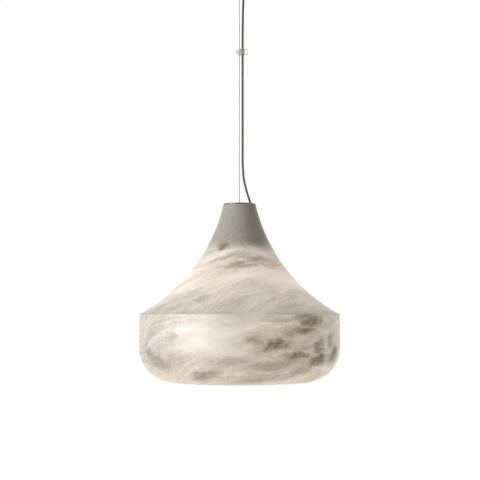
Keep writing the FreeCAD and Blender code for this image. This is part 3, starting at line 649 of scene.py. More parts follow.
    def light(self, graph: Graph, tone: Socket,
              through: Socket) -> Socket:
        """The light that comes through the stone, less where it is cloudy.

        Args:
            graph: The stone's graph.
            tone: The stone's colour.
            through: The share of light that it passes.

        Returns:
            The emitted colour.
        """
        level = graph.height()
        total: object = 0.0
        for belt in self.glow:
            total = graph.math("ADD", belt.amount(graph, level), total)
        total = graph.math("MULTIPLY", total, through)
        white = graph.blend(1.0, tone, shade_of(*self.warm), "MULTIPLY")
        return graph.scaled(white, total)


# ------------------------------------------------------------------ meshes
class Lathe:
    """An outline in the XZ plane, drawn edge by edge and then spun about Z."""

    def __init__(self, x: float, z: float) -> None:
        """Start the outline at a point.

        Args:
            x: The point's distance from the axis.
            z: Its height.
        """
        self.mesh = bmesh.new()
        self.tip = self.mesh.verts.new((x, 0.0, z))
        self.first = self.tip

    def line(self, x: float, z: float) -> "Lathe":
        """Draw a straight edge to a point.

        Args:
            x: The point's distance from the axis.
            z: Its height.

        Returns:
            The lathe itself.
        """
        made = bmesh.ops.extrude_vert_indiv(self.mesh, verts=[self.tip])["verts"]
        bmesh.ops.translate(self.mesh, verts=made, vec=Vector((x, 0.0, z)) - self.tip.co)
        self.tip = made[0]
        return self

    def arc(self, x: float, z: float, radius: float, steps: int) -> "Lathe":
        """Draw an arc to a point, bending left on the way if the radius is positive.

        Args:
            x: The end's distance from the axis.
            z: The end's height.
            radius: The arc's radius, negative where it bends right.
            steps: How many edges it gets.

        Returns:
            The lathe itself.
        """
        start, end = Vector((self.tip.co.x, self.tip.co.z)), Vector((x, z))
        chord = end - start
        rise = math.sqrt(max(0.0, radius * radius - chord.length_squared / 4))
        side = Vector((-chord.y, chord.x)).normalized() * math.copysign(rise, radius)
        centre = start + chord / 2 + side
        sweep = 2 * math.asin(min(1.0, chord.length / 2 / abs(radius)))
        made = bmesh.ops.spin(self.mesh, geom=[self.tip], cent=(centre.x, 0.0, centre.y),
                              axis=(0.0, 1.0, 0.0), angle=-math.copysign(sweep, radius),
                              steps=steps)["geom_last"]
        self.tip = [one for one in made if isinstance(one, bmesh.types.BMVert)][0]
        return self

    def close(self) -> "Lathe":
        """Join the outline's end to its start."""
        self.mesh.edges.new((self.tip, self.first))
        return self

    def turn(self, name: str, steps: int = 96) -> bpy.types.Object:
        """Spin the outline into a solid.

        Args:
            name: The piece's name.
            steps: How many sides the round has.

        Returns:
            The finished object.
        """
        bmesh.ops.spin(self.mesh, geom=self.mesh.verts[:] + self.mesh.edges[:],
                       axis=(0.0, 0.0, 1.0), cent=(0.0, 0.0, 0.0), angle=FULL_TURN,
                       steps=steps, use_merge=True)
        return piece_from(self.mesh, name)


def piece_from(mesh: bmesh.types.BMesh, name: str) -> bpy.types.Object:
    """Make a smooth-shaded object from a finished bmesh.

    Args:
        mesh: The bmesh, freed afterwards.
        name: The object's name.

    Returns:
        The object, linked to the scene.
    """
    bmesh.ops.remove_doubles(mesh, verts=mesh.verts[:], dist=MERGE_DISTANCE)
    bmesh.ops.recalc_face_normals(mesh, faces=mesh.faces[:])
    data = bpy.data.meshes.new(name)
    mesh.to_mesh(data)
    mesh.free()
    for polygon in data.polygons:
        polygon.use_smooth = True
    data.set_sharp_from_angle(angle=SHARP_FROM)
    made = bpy.data.objects.new(name, data)
    bpy.context.scene.collection.objects.link(made)
    return made


@dataclass
class SubAssembly:
    """Common steps for a group of pieces, most of which ride on the group's own body."""

    frame: dict
    body: Body = Body.SHADE
    made: list = field(default_factory=list)

    def dress(self, finish: bpy.types.Material, *nodes: str) -> None:
        """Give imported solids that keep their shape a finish.

        Args:
            finish: Their material.
            nodes: The solids.
        """
        for name in nodes:
            data = self.frame["nodes"][name].data
            data.materials.clear()
            data.materials.append(finish)
            self.made.append(name)

    def fit(self, piece: bpy.types.Object, slot: Slot, finish: bpy.types.Material, node: str,
            body: Body | None = None) -> None:
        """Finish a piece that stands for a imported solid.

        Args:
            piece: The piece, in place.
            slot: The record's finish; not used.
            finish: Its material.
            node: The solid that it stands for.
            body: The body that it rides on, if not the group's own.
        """
        piece.data.materials.append(finish)
        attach(piece, (body or self.body).value)
        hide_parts(node)
        self.made.append(piece.name)

    def smooth(self, node: str, name: str, slot: Slot, finish: bpy.types.Material,
               edge: float = 0.0, body: Body | None = None) -> None:
        """Stand a smooth copy, with eased edges if it has a width for them, for a solid.

        Args:
            node: The solid.
            name: The copy's name.
            slot: The record's finish; not used.
            finish: Its material.
            edge: The width of its eased edges.
            body: The body that it rides on, if not the group's own.
        """
        mesh = bmesh.new()
        mesh.from_mesh(self.frame["nodes"][node].data)
        bmesh.ops.remove_doubles(mesh, verts=mesh.verts[:], dist=MERGE_DISTANCE)
        bmesh.ops.dissolve_limit(mesh, angle_limit=FLAT_WITHIN, verts=mesh.verts[:],
                                 edges=mesh.edges[:])
        piece = piece_from(mesh, name)
        if edge:
            eased = piece.modifiers.new("eased edges", "BEVEL")
            eased.width = edge
            eased.segments = EASED_STEPS
            eased.limit_method = "ANGLE"
            eased.angle_limit = EASED_FROM
            eased.use_clamp_overlap = True
            eased.harden_normals = True
        self.fit(piece, slot, finish, node, body)

    def report(self) -> None:
        """Log what was made."""
        log.info("%s: %s", type(self).__name__, ", ".join(self.made))


# ------------------------------------------------------------------ at the ceiling
@dataclass
class CeilingFitting(SubAssembly):
    """The plate on the ceiling, the canopy under it and what they hold."""

    body: Body = Body.CEILING
    moulded_edge: float = 0.0002
    fine_edge: float = 0.0001

    def build(self, finishes: "Finishes") -> None:
        """Dress every piece at the ceiling.

        Args:
            finishes: The lamp's materials.
        """
        painted, nickel, brass = finishes.painted, finishes.nickel, finishes.brass
        self.dress(painted, "ceiling_plate")
        self.smooth("canopy", "canopy_cup", Slot.PAINTED, painted)
        self.smooth("canopy_screws", "canopy_screw_pair", Slot.NICKEL, nickel)
        self.dress(brass, "earth_screw", "terminal_screws")
        self.smooth("gripper_body", "wire_gripper", Slot.BRASS, brass, self.moulded_edge)
        self.smooth("gripper_plunger", "gripper_sleeve", Slot.NICKEL, nickel, self.fine_edge,
                    Body.RELEASE)
        self.dress(finishes.steel, "wire_grip_end")
        self.smooth("wire_grommet", "grommet", Slot.NYLON, finishes.nylon, self.fine_edge)
        self.smooth("canopy_gland", "gland", Slot.RUBBER, finishes.rubber, self.moulded_edge)
        self.dress(finishes.nylon, "terminal_block", "cord_clamp")
        self.dress(finishes.sheath, "canopy_cable")
        self.dress(finishes.copper, "canopy_leads")


# ------------------------------------------------------------------ wire and cable
@dataclass
class Suspension(SubAssembly):
    """The steel wire rope, its ferrule and the clip for the cable."""

    body: Body = Body.SUSPENSION
    strands: int = 6
    strand_sides: int = 6
    rope_radius: float = 0.00075
    strand_radius: float = 0.00028
    lay_length: float = 0.009
    steps_a_turn: int = 12
    top_gap: float = 0.0003
    clip_edge: float = 0.0002

    def build(self, finishes: "Finishes") -> None:
        """Make the rope and dress the ferrule and the clip.

        Args:
            finishes: The lamp's materials.
        """
        low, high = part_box("suspension_wire")
        rope = self.rope(low.z, high.z - self.top_gap)
        self.fit(rope, Slot.WIRE, finishes.steel, "suspension_wire")
        self.smooth("wire_ferrule", "ferrule", Slot.NICKEL, finishes.nickel)
        self.smooth("cable_clip", "cable_holder", Slot.CLIP, finishes.clip, self.clip_edge)

    def rope(self, low: float, high: float) -> bpy.types.Object:
        """Twist a bundle of strands from the ferrule up to the gripper.

        Args:
            low: The rope's lower end.
            high: Its upper end.

        Returns:
            The rope.
        """
        turns = round((high - low) / self.lay_length)
        rise = (high - low) / turns
        ring = self.rope_radius - self.strand_radius
        mesh = bmesh.new()
        for strand in range(self.strands):
            angle = FULL_TURN * strand / self.strands
            place = Matrix.Translation((ring * math.cos(angle), ring * math.sin(angle), low))
            bmesh.ops.create_circle(mesh, segments=self.strand_sides,
                                    radius=self.strand_radius, matrix=place)
        bmesh.ops.spin(mesh, geom=mesh.edges[:], cent=(0.0, 0.0, 0.0), axis=(0.0, 0.0, 1.0),
                       angle=FULL_TURN, steps=self.steps_a_turn,
                       dvec=(0.0, 0.0, rise / self.steps_a_turn))
        turn = mesh.verts[:] + mesh.edges[:] + mesh.faces[:]
        for number in range(1, turns):
            copy = bmesh.ops.duplicate(mesh, geom=turn)["geom"]
            verts = [one for one in copy if isinstance(one, bmesh.types.BMVert)]
            bmesh.ops.translate(mesh, verts=verts, vec=(0.0, 0.0, rise * number))
        bmesh.ops.remove_doubles(mesh, verts=mesh.verts[:], dist=MERGE_DISTANCE)
        bmesh.ops.holes_fill(mesh, edges=[edge for edge in mesh.edges if edge.is_boundary],
                             sides=self.strand_sides)
        return piece_from(mesh, "wire_rope")


@dataclass
class PowerCable(SubAssembly):
    """The power cable: two free stretches, one each side of the clip, and the held end."""

    radius: float = 0.0024
    curve_steps: int = 24
    round_steps: int = 5
    upper_length: float = 0.161
    lower_length: float = 0.349
    upper_points: tuple = ((0.014, -0.070), (0.014, -0.086), (0.007, -0.110),
                           (0.007, -0.2305))
    lower_points: tuple = ((0.007, -0.2305), (0.007, -0.430), (0.007, -0.511),
                           (0.0154, -0.5515), (0.025, -0.5782))
    upper_bend: tuple = ((0.0, 0.0, -0.066), (0.0, 0.0, -0.140))
    lower_bend: tuple = ((0.0, 0.0, -0.260), (0.0, 0.0, -0.572))

    def build(self, finishes: "Finishes") -> None:
        """Make both free stretches and dress the held end.

        Args:
            finishes: The lamp's materials.
        """
        upper, path = self.stretch("cable_above_clip", self.upper_points, finishes.sheath)
        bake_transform(upper)
        self.declare(upper, path, self.upper_points, self.upper_length, "cable_upper")
        lower, path = self.stretch("cable_below_clip", self.lower_points, finishes.sheath)
        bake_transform(lower)
        self.declare(lower, path, self.lower_points, self.lower_length, "cable_lower")
        self.dress(finishes.sheath, "cable_inner")

    def declare(self, piece: bpy.types.Object, path: list, points: tuple, length: float,
                node: str) -> None:
        """Hide the solid that a stretch stands for and list the stretch as made.

        Args:
            piece: The stretch.
            path: The points that it follows; not used.
            points: The route's points, of which the first is its exit; not used.
            length: Its free length; not used.
            node: The solid.
        """
        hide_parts(node)
        self.made.append(piece.name)

    def line(self, name: str, points: tuple) -> bpy.types.Object:
        """One smooth line with the route's points as its control points.

        Args:
            name: The curve's name.
            points: The route's points.

        Returns:
            The curve, with no thickness yet.
        """
        data = bpy.data.curves.new(name, "CURVE")
        data.dimensions = "3D"
        spline = data.splines.new("NURBS")
        spline.points.add(len(points) - 1)
        for spot, (x, z) in zip(spline.points, points):
            spot.co = (x, 0.0, z, 1.0)
        spline.order_u = 3
        spline.use_endpoint_u = True
        spline.resolution_u = self.curve_steps
        made = bpy.data.objects.new(name, data)
        bpy.context.scene.collection.objects.link(made)
        return made

    def stretch(self, name: str, points: tuple,
                finish: bpy.types.Material) -> tuple[bpy.types.Object, list]:
        """A round cable along one line.

        Args:
            name: The piece's name.
            points: The route's points.
            finish: Its material.

        Returns:
            The cable and the points that it follows.
        """
        curve = self.line(name + "_line", points)
        bare = bpy.data.meshes.new_from_object(curve)
        path = [tuple(vert.co) for vert in bare.vertices]
        bpy.data.meshes.remove(bare)
        curve.data.bevel_depth = self.radius
        curve.data.bevel_resolution = self.round_steps
        curve.data.use_fill_caps = True
        bpy.context.view_layer.update()
        data = bpy.data.meshes.new_from_object(
            curve.evaluated_get(bpy.context.evaluated_depsgraph_get()))
        bpy.data.objects.remove(curve)
        mesh = bmesh.new()
        mesh.from_mesh(data)
        bpy.data.meshes.remove(data)
        made = piece_from(mesh, name)
        made.data.materials.append(finish)
        return made, path


# ------------------------------------------------------------------ the shade
@dataclass
class NeckHardware(SubAssembly):
    """The cap on the neck and the clamp that hangs the stone from it."""

    nut_edge: float = 0.0003

    def build(self, finishes: "Finishes") -> None:
        """Dress the pieces in the neck.

        Args:
            finishes: The lamp's materials.
        """
        nickel, rubber = finishes.nickel, finishes.rubber
        self.smooth("neck_cap", "cap_disc", Slot.NICKEL, finishes.dark_nickel)
        self.smooth("cable_bush", "cap_bush", Slot.RUBBER, rubber)
        self.smooth("hanger_tube", "threaded_tube", Slot.NICKEL, nickel)
        self.dress(rubber, "stone_washer")
        self.dress(nickel, "clamp_plate", "nut_washer")
        self.smooth("tube_nut", "hex_nut", Slot.NICKEL, nickel, self.nut_edge)


@dataclass
class StoneShade(SubAssembly):
    """The two turned alabaster pieces."""

    top: float = -0.583
    ridge: float = -0.830
    bottom: float = -0.980
    neck_radius: float = 0.037
    bore_radius: float = 0.031
    ledge: float = -0.661
    rim_radius: float = 0.225
    flare_radius: float = 0.378
    wall: float = 0.008
    edge: float = 0.0006
    lap: float = 0.005
    lap_gap: float = 0.0003
    corner_radius: float = 0.076
    opening_radius: float = 0.102
    sides: int = 192
    edge_steps: int = 3
    flare_steps: tuple = (64, 40)
    corner_steps: tuple = (32, 24)

    def build(self, finishes: "Finishes") -> None:
        """Turn both stones."""
        self.fit(self.cone(), Slot.STONE, finishes.upper_stone, "shade_cone")
        self.fit(self.bowl(), Slot.STONE, finishes.lower_stone, "shade_bowl")

    def flare_centre(self) -> Vector:
        """The centre of the arc that flares from the neck to the rim.

        Returns:
            The centre's distance from the axis and its height.
        """
        high = Vector((self.neck_radius, self.top - self.edge))
        low = Vector((self.rim_radius, self.ridge + self.edge))
        chord = low - high
        reach = math.sqrt(self.flare_radius ** 2 - chord.length_squared / 4)
        return (high + low) / 2 + Vector((-chord.y, chord.x)).normalized() * reach

    def inner_radius(self, level: float) -> float:
        """How far the cone's inner face is from the axis at a level.

        Args:
            level: The height.

        Returns:
            The radius.
        """
        centre = self.flare_centre()
        inner = self.flare_radius + self.wall
        return centre.x - math.sqrt(inner ** 2 - (level - centre.y) ** 2)

    def cone(self) -> bpy.types.Object:
        """The upper stone, from the neck's rim down to the lap in the bowl.

        Returns:
            The stone.
        """
        outside, inside = self.flare_steps
        inner_rim = self.inner_radius(self.ridge)
        lap_radius = self.rim_radius - self.wall - self.lap_gap
        lap_bottom = self.ridge - self.lap
        lathe = Lathe(self.bore_radius, self.top).line(self.bore_radius, self.ledge)
        lathe.line(self.inner_radius(self.ledge), self.ledge)
        lathe.arc(inner_rim, self.ridge, self.flare_radius + self.wall, inside)
        lathe.line(inner_rim, lap_bottom).line(lap_radius, lap_bottom)
        lathe.line(lap_radius, self.ridge).line(self.rim_radius - self.edge, self.ridge)
        lathe.arc(self.rim_radius, self.ridge + self.edge, self.edge, self.edge_steps)
        lathe.arc(self.neck_radius, self.top - self.edge, -self.flare_radius, outside)
        lathe.arc(self.neck_radius - self.edge, self.top, self.edge, self.edge_steps)
        return lathe.close().turn("stone_cone", self.sides)

    def bowl(self) -> bpy.types.Object:
        """The lower stone, an upright wall with a large round corner and a flat bottom.

        Returns:
            The stone.
        """
        outer_steps, inner_steps = self.corner_steps
        inside, bend = self.rim_radius - self.wall, self.corner_radius
        floor = self.bottom + self.wall
        lathe = Lathe(inside, self.ridge).line(inside, self.bottom + bend)
        lathe.arc(self.rim_radius - bend, floor, self.wall - bend, inner_steps)
        lathe.line(self.opening_radius, floor)
        lathe.line(self.opening_radius, self.bottom + self.edge)
        lathe.arc(self.opening_radius + self.edge, self.bottom, self.edge, self.edge_steps)
        lathe.line(self.rim_radius - bend, self.bottom)
        lathe.arc(self.rim_radius, self.bottom + bend, bend, outer_steps)
        lathe.line(self.rim_radius, self.ridge - self.edge)
        lathe.arc(self.rim_radius - self.edge, self.ridge, self.edge, self.edge_steps)
        return lathe.close().turn("stone_bowl", self.sides)


@dataclass
class BottomDiffuser(SubAssembly):
    """The steel ring in the bowl's opening and the opal disc that lies in it."""

    disc_radius: float = 0.095
    disc_bottom: float = -0.9775
    disc_height: float = 0.004
    edge: float = 0.0006
    edge_steps: int = 4
    sides: int = 144

    def build(self, finishes: "Finishes") -> None:
        """Dress the ring and turn the disc."""
        self.smooth("diffuser_ring", "bottom_ring", Slot.NICKEL, finishes.nickel)
        self.fit(self.disc(), Slot.OPAL_DISC, finishes.opal_disc, "diffuser", Body.DIFFUSER)

    def disc(self) -> bpy.types.Object:
        """The opal disc, with rounded edges.

        Returns:
            The disc.
        """
        low, high = self.disc_bottom, self.disc_bottom + self.disc_height
        lathe = Lathe(0.0, low).line(self.disc_radius - self.edge, low)
        lathe.arc(self.disc_radius, low + self.edge, self.edge, self.edge_steps)
        lathe.line(self.disc_radius, high - self.edge)
        lathe.arc(self.disc_radius - self.edge, high, self.edge, self.edge_steps)
        return lathe.line(0.0, high).turn("opal_plate", self.sides)


@dataclass
class Lampholder(SubAssembly):
    """The lampholder on the hanger tube."""

    def build(self, finishes: "Finishes") -> None:
        """Dress the lampholder's pieces.

        Args:
            finishes: The lamp's materials.
        """
        self.smooth("holder_cap", "holder_dome", Slot.HOLDER, finishes.holder)
        self.smooth("holder_skirt", "holder_sleeve", Slot.HOLDER, finishes.holder)
        self.smooth("holder_insert", "holder_core", Slot.CERAMIC, finishes.ceramic)
        self.dress(finishes.copper, "holder_leads")
        self.smooth("screw_shell", "holder_shell", Slot.NICKEL, finishes.nickel)
        self.dress(finishes.brass, "centre_contact")


@dataclass
class Bulb(SubAssembly):
    """The opal bulb with its screw cap."""

    body: Body = Body.BULB
    globe_radius: float = 0.030
    globe_level: float = -0.7843
    collar_level: float = -0.7699
    wall: float = 0.0015
    inner_steps: tuple = (10, 24)
    outer_steps: tuple = (28, 12)
    sides: int = 96

    def build(self, finishes: "Finishes") -> None:
        """Dress the cap and the collar and turn the globe.

        Args:
            finishes: The lamp's materials.
        """
        self.smooth("bulb_screw_cap", "bulb_thread", Slot.BULB_METAL, finishes.aluminium)
        self.smooth("bulb_contact", "bulb_tip", Slot.INSULATOR, finishes.holder)
        self.smooth("bulb_collar", "bulb_neck", Slot.BULB_PLASTIC, finishes.bulb_plastic)
        self.fit(self.globe(), Slot.OPAL_GLASS, finishes.opal_glass, "bulb_globe")

    def globe(self) -> bpy.types.Object:
        """The opal globe, open where the collar holds it.

        Returns:
            The globe.
        """
        above = self.collar_level - self.globe_level
        outer, inner = self.globe_radius, self.globe_radius - self.wall
        rim, lip = (math.sqrt(one ** 2 - above ** 2) for one in (outer, inner))
        lathe = Lathe(lip, self.collar_level)
        lathe.arc(inner, self.globe_level, -inner, self.inner_steps[0])
        lathe.arc(0.0, self.globe_level - inner, -inner, self.inner_steps[1])
        lathe.line(0.0, self.globe_level - outer)
        lathe.arc(outer, self.globe_level, outer, self.outer_steps[0])
        lathe.arc(rim, self.collar_level, outer, self.outer_steps[1])
        return lathe.close().turn("bulb_glass", self.sides)


class Finishes:
    """Every material of the lamp, made once."""

    def __init__(self) -> None:
        """Build all finishes."""
        self.painted = Powder("off_white_powder", shade_of(226, 223, 216)).make()
        self.nickel = Metal("satin_nickel", shade_of(156, 152, 146)).make()
        # A darker nickel than the other metal pieces, for the cap on the neck.
        self.dark_nickel = Metal("dark_satin_nickel", shade_of(104, 99, 92), 0.42).make()
        self.brass = Metal("turned_brass", shade_of(205, 172, 112), 0.28).make()
        self.steel = Metal("stranded_steel", shade_of(118, 119, 120), 0.5).make()
        self.aluminium = Metal("rolled_aluminium", shade_of(205, 205, 203), 0.3).make()
        self.nylon = Moulding("natural_nylon", shade_of(228, 225, 217)).make()
        self.rubber = Moulding("black_rubber", shade_of(38, 37, 36), 0.6).make()
        self.sheath = Moulding("cable_sheath", shade_of(76, 70, 63), 0.50, grain=500.0,
                               grain_depth=0.000002).make()
        self.copper = Moulding("lead_insulation", shade_of(150, 96, 60), 0.4).make()
        self.clip = Moulding("clear_clip", shade_of(232, 232, 226), 0.35,
                             transmission=0.7).make()
        self.holder = Moulding("black_moulding", shade_of(34, 33, 32), 0.35).make()
        self.ceramic = Moulding("glazed_ceramic", shade_of(232, 228, 218), 0.15).make()
        self.bulb_plastic = Moulding("white_moulding", shade_of(236, 234, 228), 0.4).make()
        self.opal_disc = Opal("opal_acrylic", shade_of(240, 238, 232),
                              shade_of(255, 240, 216), strength=0.67).make()
        self.opal_glass = Opal("opal_glass", shade_of(244, 241, 234),
                               shade_of(255, 236, 205), strength=1.6,
                               roughness=0.15).make()
        self.upper_stone = Alabaster("alabaster_upper", UPPER_CLOUDS, UPPER_GLOW,
                                     seed=1.7).make()
        self.lower_stone = Alabaster("alabaster_lower", LOWER_CLOUDS, LOWER_GLOW,
                                     seed=5.3, bedding=14.0).make()


def patches(kind: Cloud, *rows: tuple) -> tuple:
    """Clouds of one kind, each row with the other fields of a Patch up to its depth."""
    return tuple(Patch(kind, *row) for row in rows)


# The stone's clouds as the lamp hangs: azimuth, level, radius, half width, half height, tilt
# and depth.
UPPER_CLOUDS = (
    *patches(
        Cloud.CLEAR,
        (-4, -0.690, 0.081, 0.060, 0.007, 6, 0.8),
        (34, -0.694, 0.083, 0.040, 0.009, -12, 0.9),
        (-35, -0.722, 0.103, 0.050, 0.007, 20, 0.6),
        (4, -0.744, 0.119, 0.085, 0.010, 14, 0.75),
        # The next clear cloud, on the cone's right side, is partly clearer stone and partly
        # painted light that brightens that side.
        (42, -0.746, 0.121, 0.085, 0.024, -8, 1.0),
        (-48, -0.770, 0.143, 0.060, 0.010, 28, 0.5),
        (20, -0.778, 0.152, 0.070, 0.010, 10, 0.5),
        (62, -0.765, 0.138, 0.050, 0.016, 0, 0.7),
        (34, -0.735, 0.108, 0.040, 0.024, -18, 0.9),
        (160, -0.750, 0.125, 0.080, 0.016, 20, 0.6)),
    *patches(
        Cloud.LILAC,
        (14, -0.812, 0.197, 0.090, 0.016, 4, 0.6),
        (-58, -0.800, 0.180, 0.090, 0.030, 20, 0.75),
        (-108, -0.800, 0.180, 0.110, 0.036, 10, 0.9)),
    *patches(
        Cloud.GREY,
        (34, -0.672, 0.072, 0.036, 0.012, -20, 0.65),
        (18, -0.708, 0.091, 0.044, 0.006, -4, 0.75),
        (-24, -0.706, 0.090, 0.040, 0.005, 14, 0.6),
        (-8, -0.806, 0.188, 0.050, 0.010, 14, 0.45),
        (100, -0.812, 0.197, 0.060, 0.010, -6, 0.6),
        (185, -0.706, 0.090, 0.050, 0.007, -8, 0.6)),
    *patches(
        Cloud.OCHRE,
        (-33, -0.676, 0.072, 0.016, 0.012, 0, 0.45),
        (44, -0.721, 0.101, 0.030, 0.007, 2, 0.8),
        (-70, -0.724, 0.103, 0.030, 0.008, 18, 0.5),
        (235, -0.735, 0.112, 0.030, 0.008, 15, 0.6)),
    *patches(
        Cloud.OLIVE,
        (-28, -0.680, 0.074, 0.013, 0.010, 0, 0.85),
        (6, -0.723, 0.102, 0.060, 0.005, 6, 0.45),
        (-28, -0.797, 0.176, 0.024, 0.009, 16, 0.45),
        (-43, -0.812, 0.196, 0.034, 0.010, 20, 0.45),
        (120, -0.790, 0.168, 0.050, 0.008, 14, 0.6),
        (205, -0.806, 0.188, 0.060, 0.007, 12, 0.5)),
)
LOWER_CLOUDS = (
    *patches(
        Cloud.CLEAR,
        (-18, -0.876, 0.225, 0.072, 0.044, 4, 0.85),
        (-4, -0.850, 0.225, 0.070, 0.018, 0, 0.5),
        (-10, -0.900, 0.225, 0.050, 0.016, 0, 0.5),
        (34, -0.880, 0.225, 0.030, 0.006, -6, 0.7),
        (40, -0.908, 0.224, 0.036, 0.006, 14, 0.8),
        (27, -0.905, 0.225, 0.026, 0.004, -10, 0.7),
        (55, -0.868, 0.225, 0.030, 0.006, 8, 0.8),
        (150, -0.890, 0.225, 0.080, 0.030, 0, 0.6)),
    *patches(
        Cloud.LILAC,
        (-41, -0.880, 0.225, 0.030, 0.024, 12, 0.9),
        (-64, -0.885, 0.225, 0.120, 0.080, 0, 1.0),
        (-46, -0.845, 0.225, 0.060, 0.016, 4, 0.7),
        (-116, -0.885, 0.225, 0.140, 0.080, 0, 0.85)),
    *patches(
        Cloud.GREY,
        (29, -0.868, 0.225, 0.026, 0.012, 0, 0.7),
        (12, -0.906, 0.225, 0.034, 0.012, 8, 0.6),
        (20, -0.938, 0.217, 0.060, 0.010, 4, 0.5),
        (-2, -0.926, 0.222, 0.050, 0.012, 6, 0.6),
        (128, -0.868, 0.225, 0.050, 0.014, -6, 0.6),
        (192, -0.860, 0.225, 0.060, 0.010, 8, 0.6)),
    *patches(
        Cloud.OLIVE,
        (50, -0.895, 0.225, 0.070, 0.050, 8, 0.12),
        (42, -0.841, 0.225, 0.044, 0.014, -4, 0.85),
        (49, -0.897, 0.225, 0.024, 0.015, 0, 1.0),
        (19, -0.894, 0.225, 0.034, 0.013, 4, 1.0),
        (9, -0.886, 0.225, 0.024, 0.010, -6, 0.5),
        (39, -0.864, 0.225, 0.024, 0.008, 4, 0.85),
        (49, -0.928, 0.222, 0.034, 0.016, 12, 1.0),
        (66, -0.920, 0.222, 0.030, 0.022, 20, 1.0),
        (33, -0.918, 0.223, 0.034, 0.010, 6, 0.75),
        (60, -0.884, 0.225, 0.016, 0.020, 0, 0.85),
        (-38, -0.874, 0.225, 0.014, 0.008, 10, 0.35),
        (-60, -0.912, 0.224, 0.024, 0.014, 0, 0.55),
        (-52, -0.934, 0.221, 0.040, 0.018, -12, 0.60),
        (-21, -0.958, 0.200, 0.040, 0.014, 8, 0.70),
        (10, -0.960, 0.203, 0.090, 0.010, 3, 0.30),
        (37, -0.948, 0.212, 0.034, 0.010, 6, 0.5),
        (92, -0.872, 0.225, 0.050, 0.008, 10, 0.7),
        (112, -0.902, 0.225, 0.060, 0.010, 6, 0.8),
        (178, -0.932, 0.221, 0.060, 0.009, 12, 0.7),
        (222, -0.905, 0.225, 0.060, 0.009, -6, 0.7),
        (238, -0.870, 0.225, 0.034, 0.008, 12, 0.5),
        (262, -0.926, 0.222, 0.060, 0.010, 4, 0.5)),
)
# Where the lamp inside lights the stone.
UPPER_GLOW = (Glow(-0.698, -0.800, above=0.036, below=0.060, strength=0.70),
              Glow(-0.742, -0.758, above=0.030, below=0.034, strength=0.14))
LOWER_GLOW = (Glow(-0.820, -0.990, above=0.010, below=0.010, strength=0.75),
              Glow(-0.962, -0.990, above=0.040, below=0.010, strength=0.24))


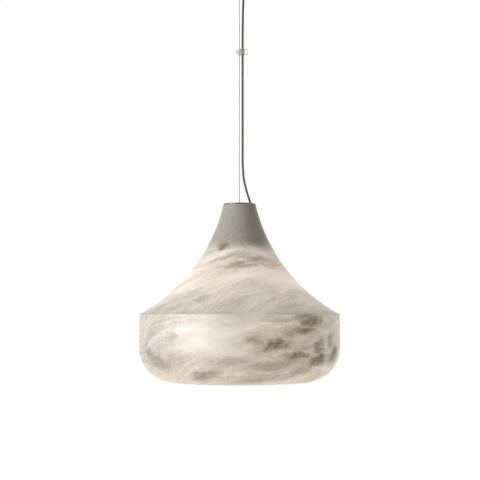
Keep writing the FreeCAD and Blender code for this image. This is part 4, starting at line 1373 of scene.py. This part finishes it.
@dataclass
class Studio:
    """The white studio: floor, soft lights, world and camera."""

    floor_level: float = -2.20
    floor_size: float = 20.0
    floor_paint: tuple = (0.8, 0.8, 0.8, 1.0)
    lift: float = 0.55
    white_from: float = 0.5
    white_at: float = 1.6
    ambient: tuple = (0.215, 0.203, 0.180, 1.0)
    key_place: tuple = (-1.9, -1.35, -0.66)
    top_place: tuple = (-0.3, 0.5, 1.0)
    aim: tuple = (0.0, 0.0, -0.80)
    camera_place: tuple = (0.001, -2.530, -0.8387)
    camera_tilt: float = 4.0
    sensor: float = 36.0
    lens: float = 84.09

    def build(self) -> None:
        """Set up everything around the lamp."""
        self.floor()
        self.world()
        self.softbox("key_light", self.key_place, size=1.5, power=42.0)
        self.softbox("top_light", self.top_place, size=1.6, power=8.0)
        self.camera()
        bpy.context.scene.view_settings.view_transform = "Standard"

    def seen(self, tree: bpy.types.NodeTree) -> Socket:
        """Tell which rays end at the camera.

        Args:
            tree: The nodes of the floor or the world.

        Returns:
            1 where a ray is the camera's, or one that a mirror or glass passes on.
        """
        path = tree.nodes.new("ShaderNodeLightPath")
        total = path.outputs["Is Camera Ray"]
        for name in ("Is Glossy Ray", "Is Transmission Ray"):
            node = tree.nodes.new("ShaderNodeMath")
            node.operation = "MAXIMUM"
            tree.links.new(total, node.inputs[0])
            tree.links.new(path.outputs[name], node.inputs[1])
            total = node.outputs[0]
        return total

    def world(self) -> None:
        """A soft grey world that shows as white."""
        world = bpy.data.worlds.new("studio_world")
        world.use_nodes = True
        tree = world.node_tree
        tree.nodes.clear()
        output = tree.nodes.new("ShaderNodeOutputWorld")
        grey = tree.nodes.new("ShaderNodeBackground")
        grey.inputs["Color"].default_value = self.ambient
        white = tree.nodes.new("ShaderNodeBackground")
        white.inputs["Color"].default_value = WHITE
        mix = tree.nodes.new("ShaderNodeMixShader")
        tree.links.new(self.seen(tree), mix.inputs[0])
        tree.links.new(grey.outputs[0], mix.inputs[1])
        tree.links.new(white.outputs[0], mix.inputs[2])
        tree.links.new(mix.outputs[0], output.inputs["Surface"])
        bpy.context.scene.world = world

    def floor(self) -> None:
        """A wide pale floor that keeps the lamp's soft shadow."""
        mesh = bmesh.new()
        bmesh.ops.create_grid(mesh, x_segments=2, y_segments=2, size=self.floor_size / 2)
        bmesh.ops.translate(mesh, verts=mesh.verts[:], vec=(0.0, 0.0, self.floor_level))
        floor = piece_from(mesh, "studio_floor")
        graph = Graph("pale_floor")
        paint = graph.add("BsdfDiffuse", {"Color": self.floor_paint})
        away = graph.length(graph.vector("MULTIPLY", graph.coords, (1.0, 1.0, 0.0)))
        white = graph.span(away, self.white_from, self.white_at, start=self.lift)
        shown = graph.math("MULTIPLY", self.seen(graph.tree), white)
        lift = graph.add("Emission", {"Color": WHITE, "Strength": shown})
        both = graph.add("AddShader", {0: paint.outputs[0], 1: lift.outputs[0]})
        clear = graph.add("BsdfTransparent", {})
        behind = graph.add("NewGeometry", {}).outputs["Backfacing"]
        sided = graph.add("MixShader", {0: behind, 1: both.outputs[0], 2: clear.outputs[0]})
        graph.tree.links.new(sided.outputs[0], graph.output.inputs["Surface"])
        floor.data.materials.append(graph.material)

    def softbox(self, name: str, place: tuple, size: float, power: float) -> None:
        """A square soft light aimed at the shade.

        Args:
            name: The light's name.
            place: Where it stands.
            size: The length of its side.
            power: Its power in watts.
        """
        data = bpy.data.lights.new(name, "AREA")
        data.size = size
        data.energy = power
        light = bpy.data.objects.new(name, data)
        light.location = place
        aim = Vector(self.aim) - Vector(place)
        light.rotation_euler = aim.to_track_quat("-Z", "Y").to_euler()
        bpy.context.scene.collection.objects.link(light)

    def camera(self) -> None:
        """The camera at the photograph's place, tilted up a little."""
        data = bpy.data.cameras.new("studio_camera")
        data.sensor_width = self.sensor
        data.lens = self.lens
        camera = bpy.data.objects.new("studio_camera", data)
        camera.location = self.camera_place
        camera.rotation_euler = (math.radians(90 + self.camera_tilt), 0.0, 0.0)
        bpy.context.scene.collection.objects.link(camera)
        bpy.context.scene.camera = camera


def main() -> None:
    """Build the lamp, then the studio around it."""
    logging.basicConfig(level=logging.INFO, format="%(name)s: %(message)s")
    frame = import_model()
    finishes = Finishes()
    for kind in (CeilingFitting, Suspension, PowerCable, NeckHardware, StoneShade,
                 BottomDiffuser, Lampholder, Bulb):
        assembly = kind(frame)
        assembly.build(finishes)
        assembly.report()
    Studio().build()


if __name__ == "__main__":
    main()
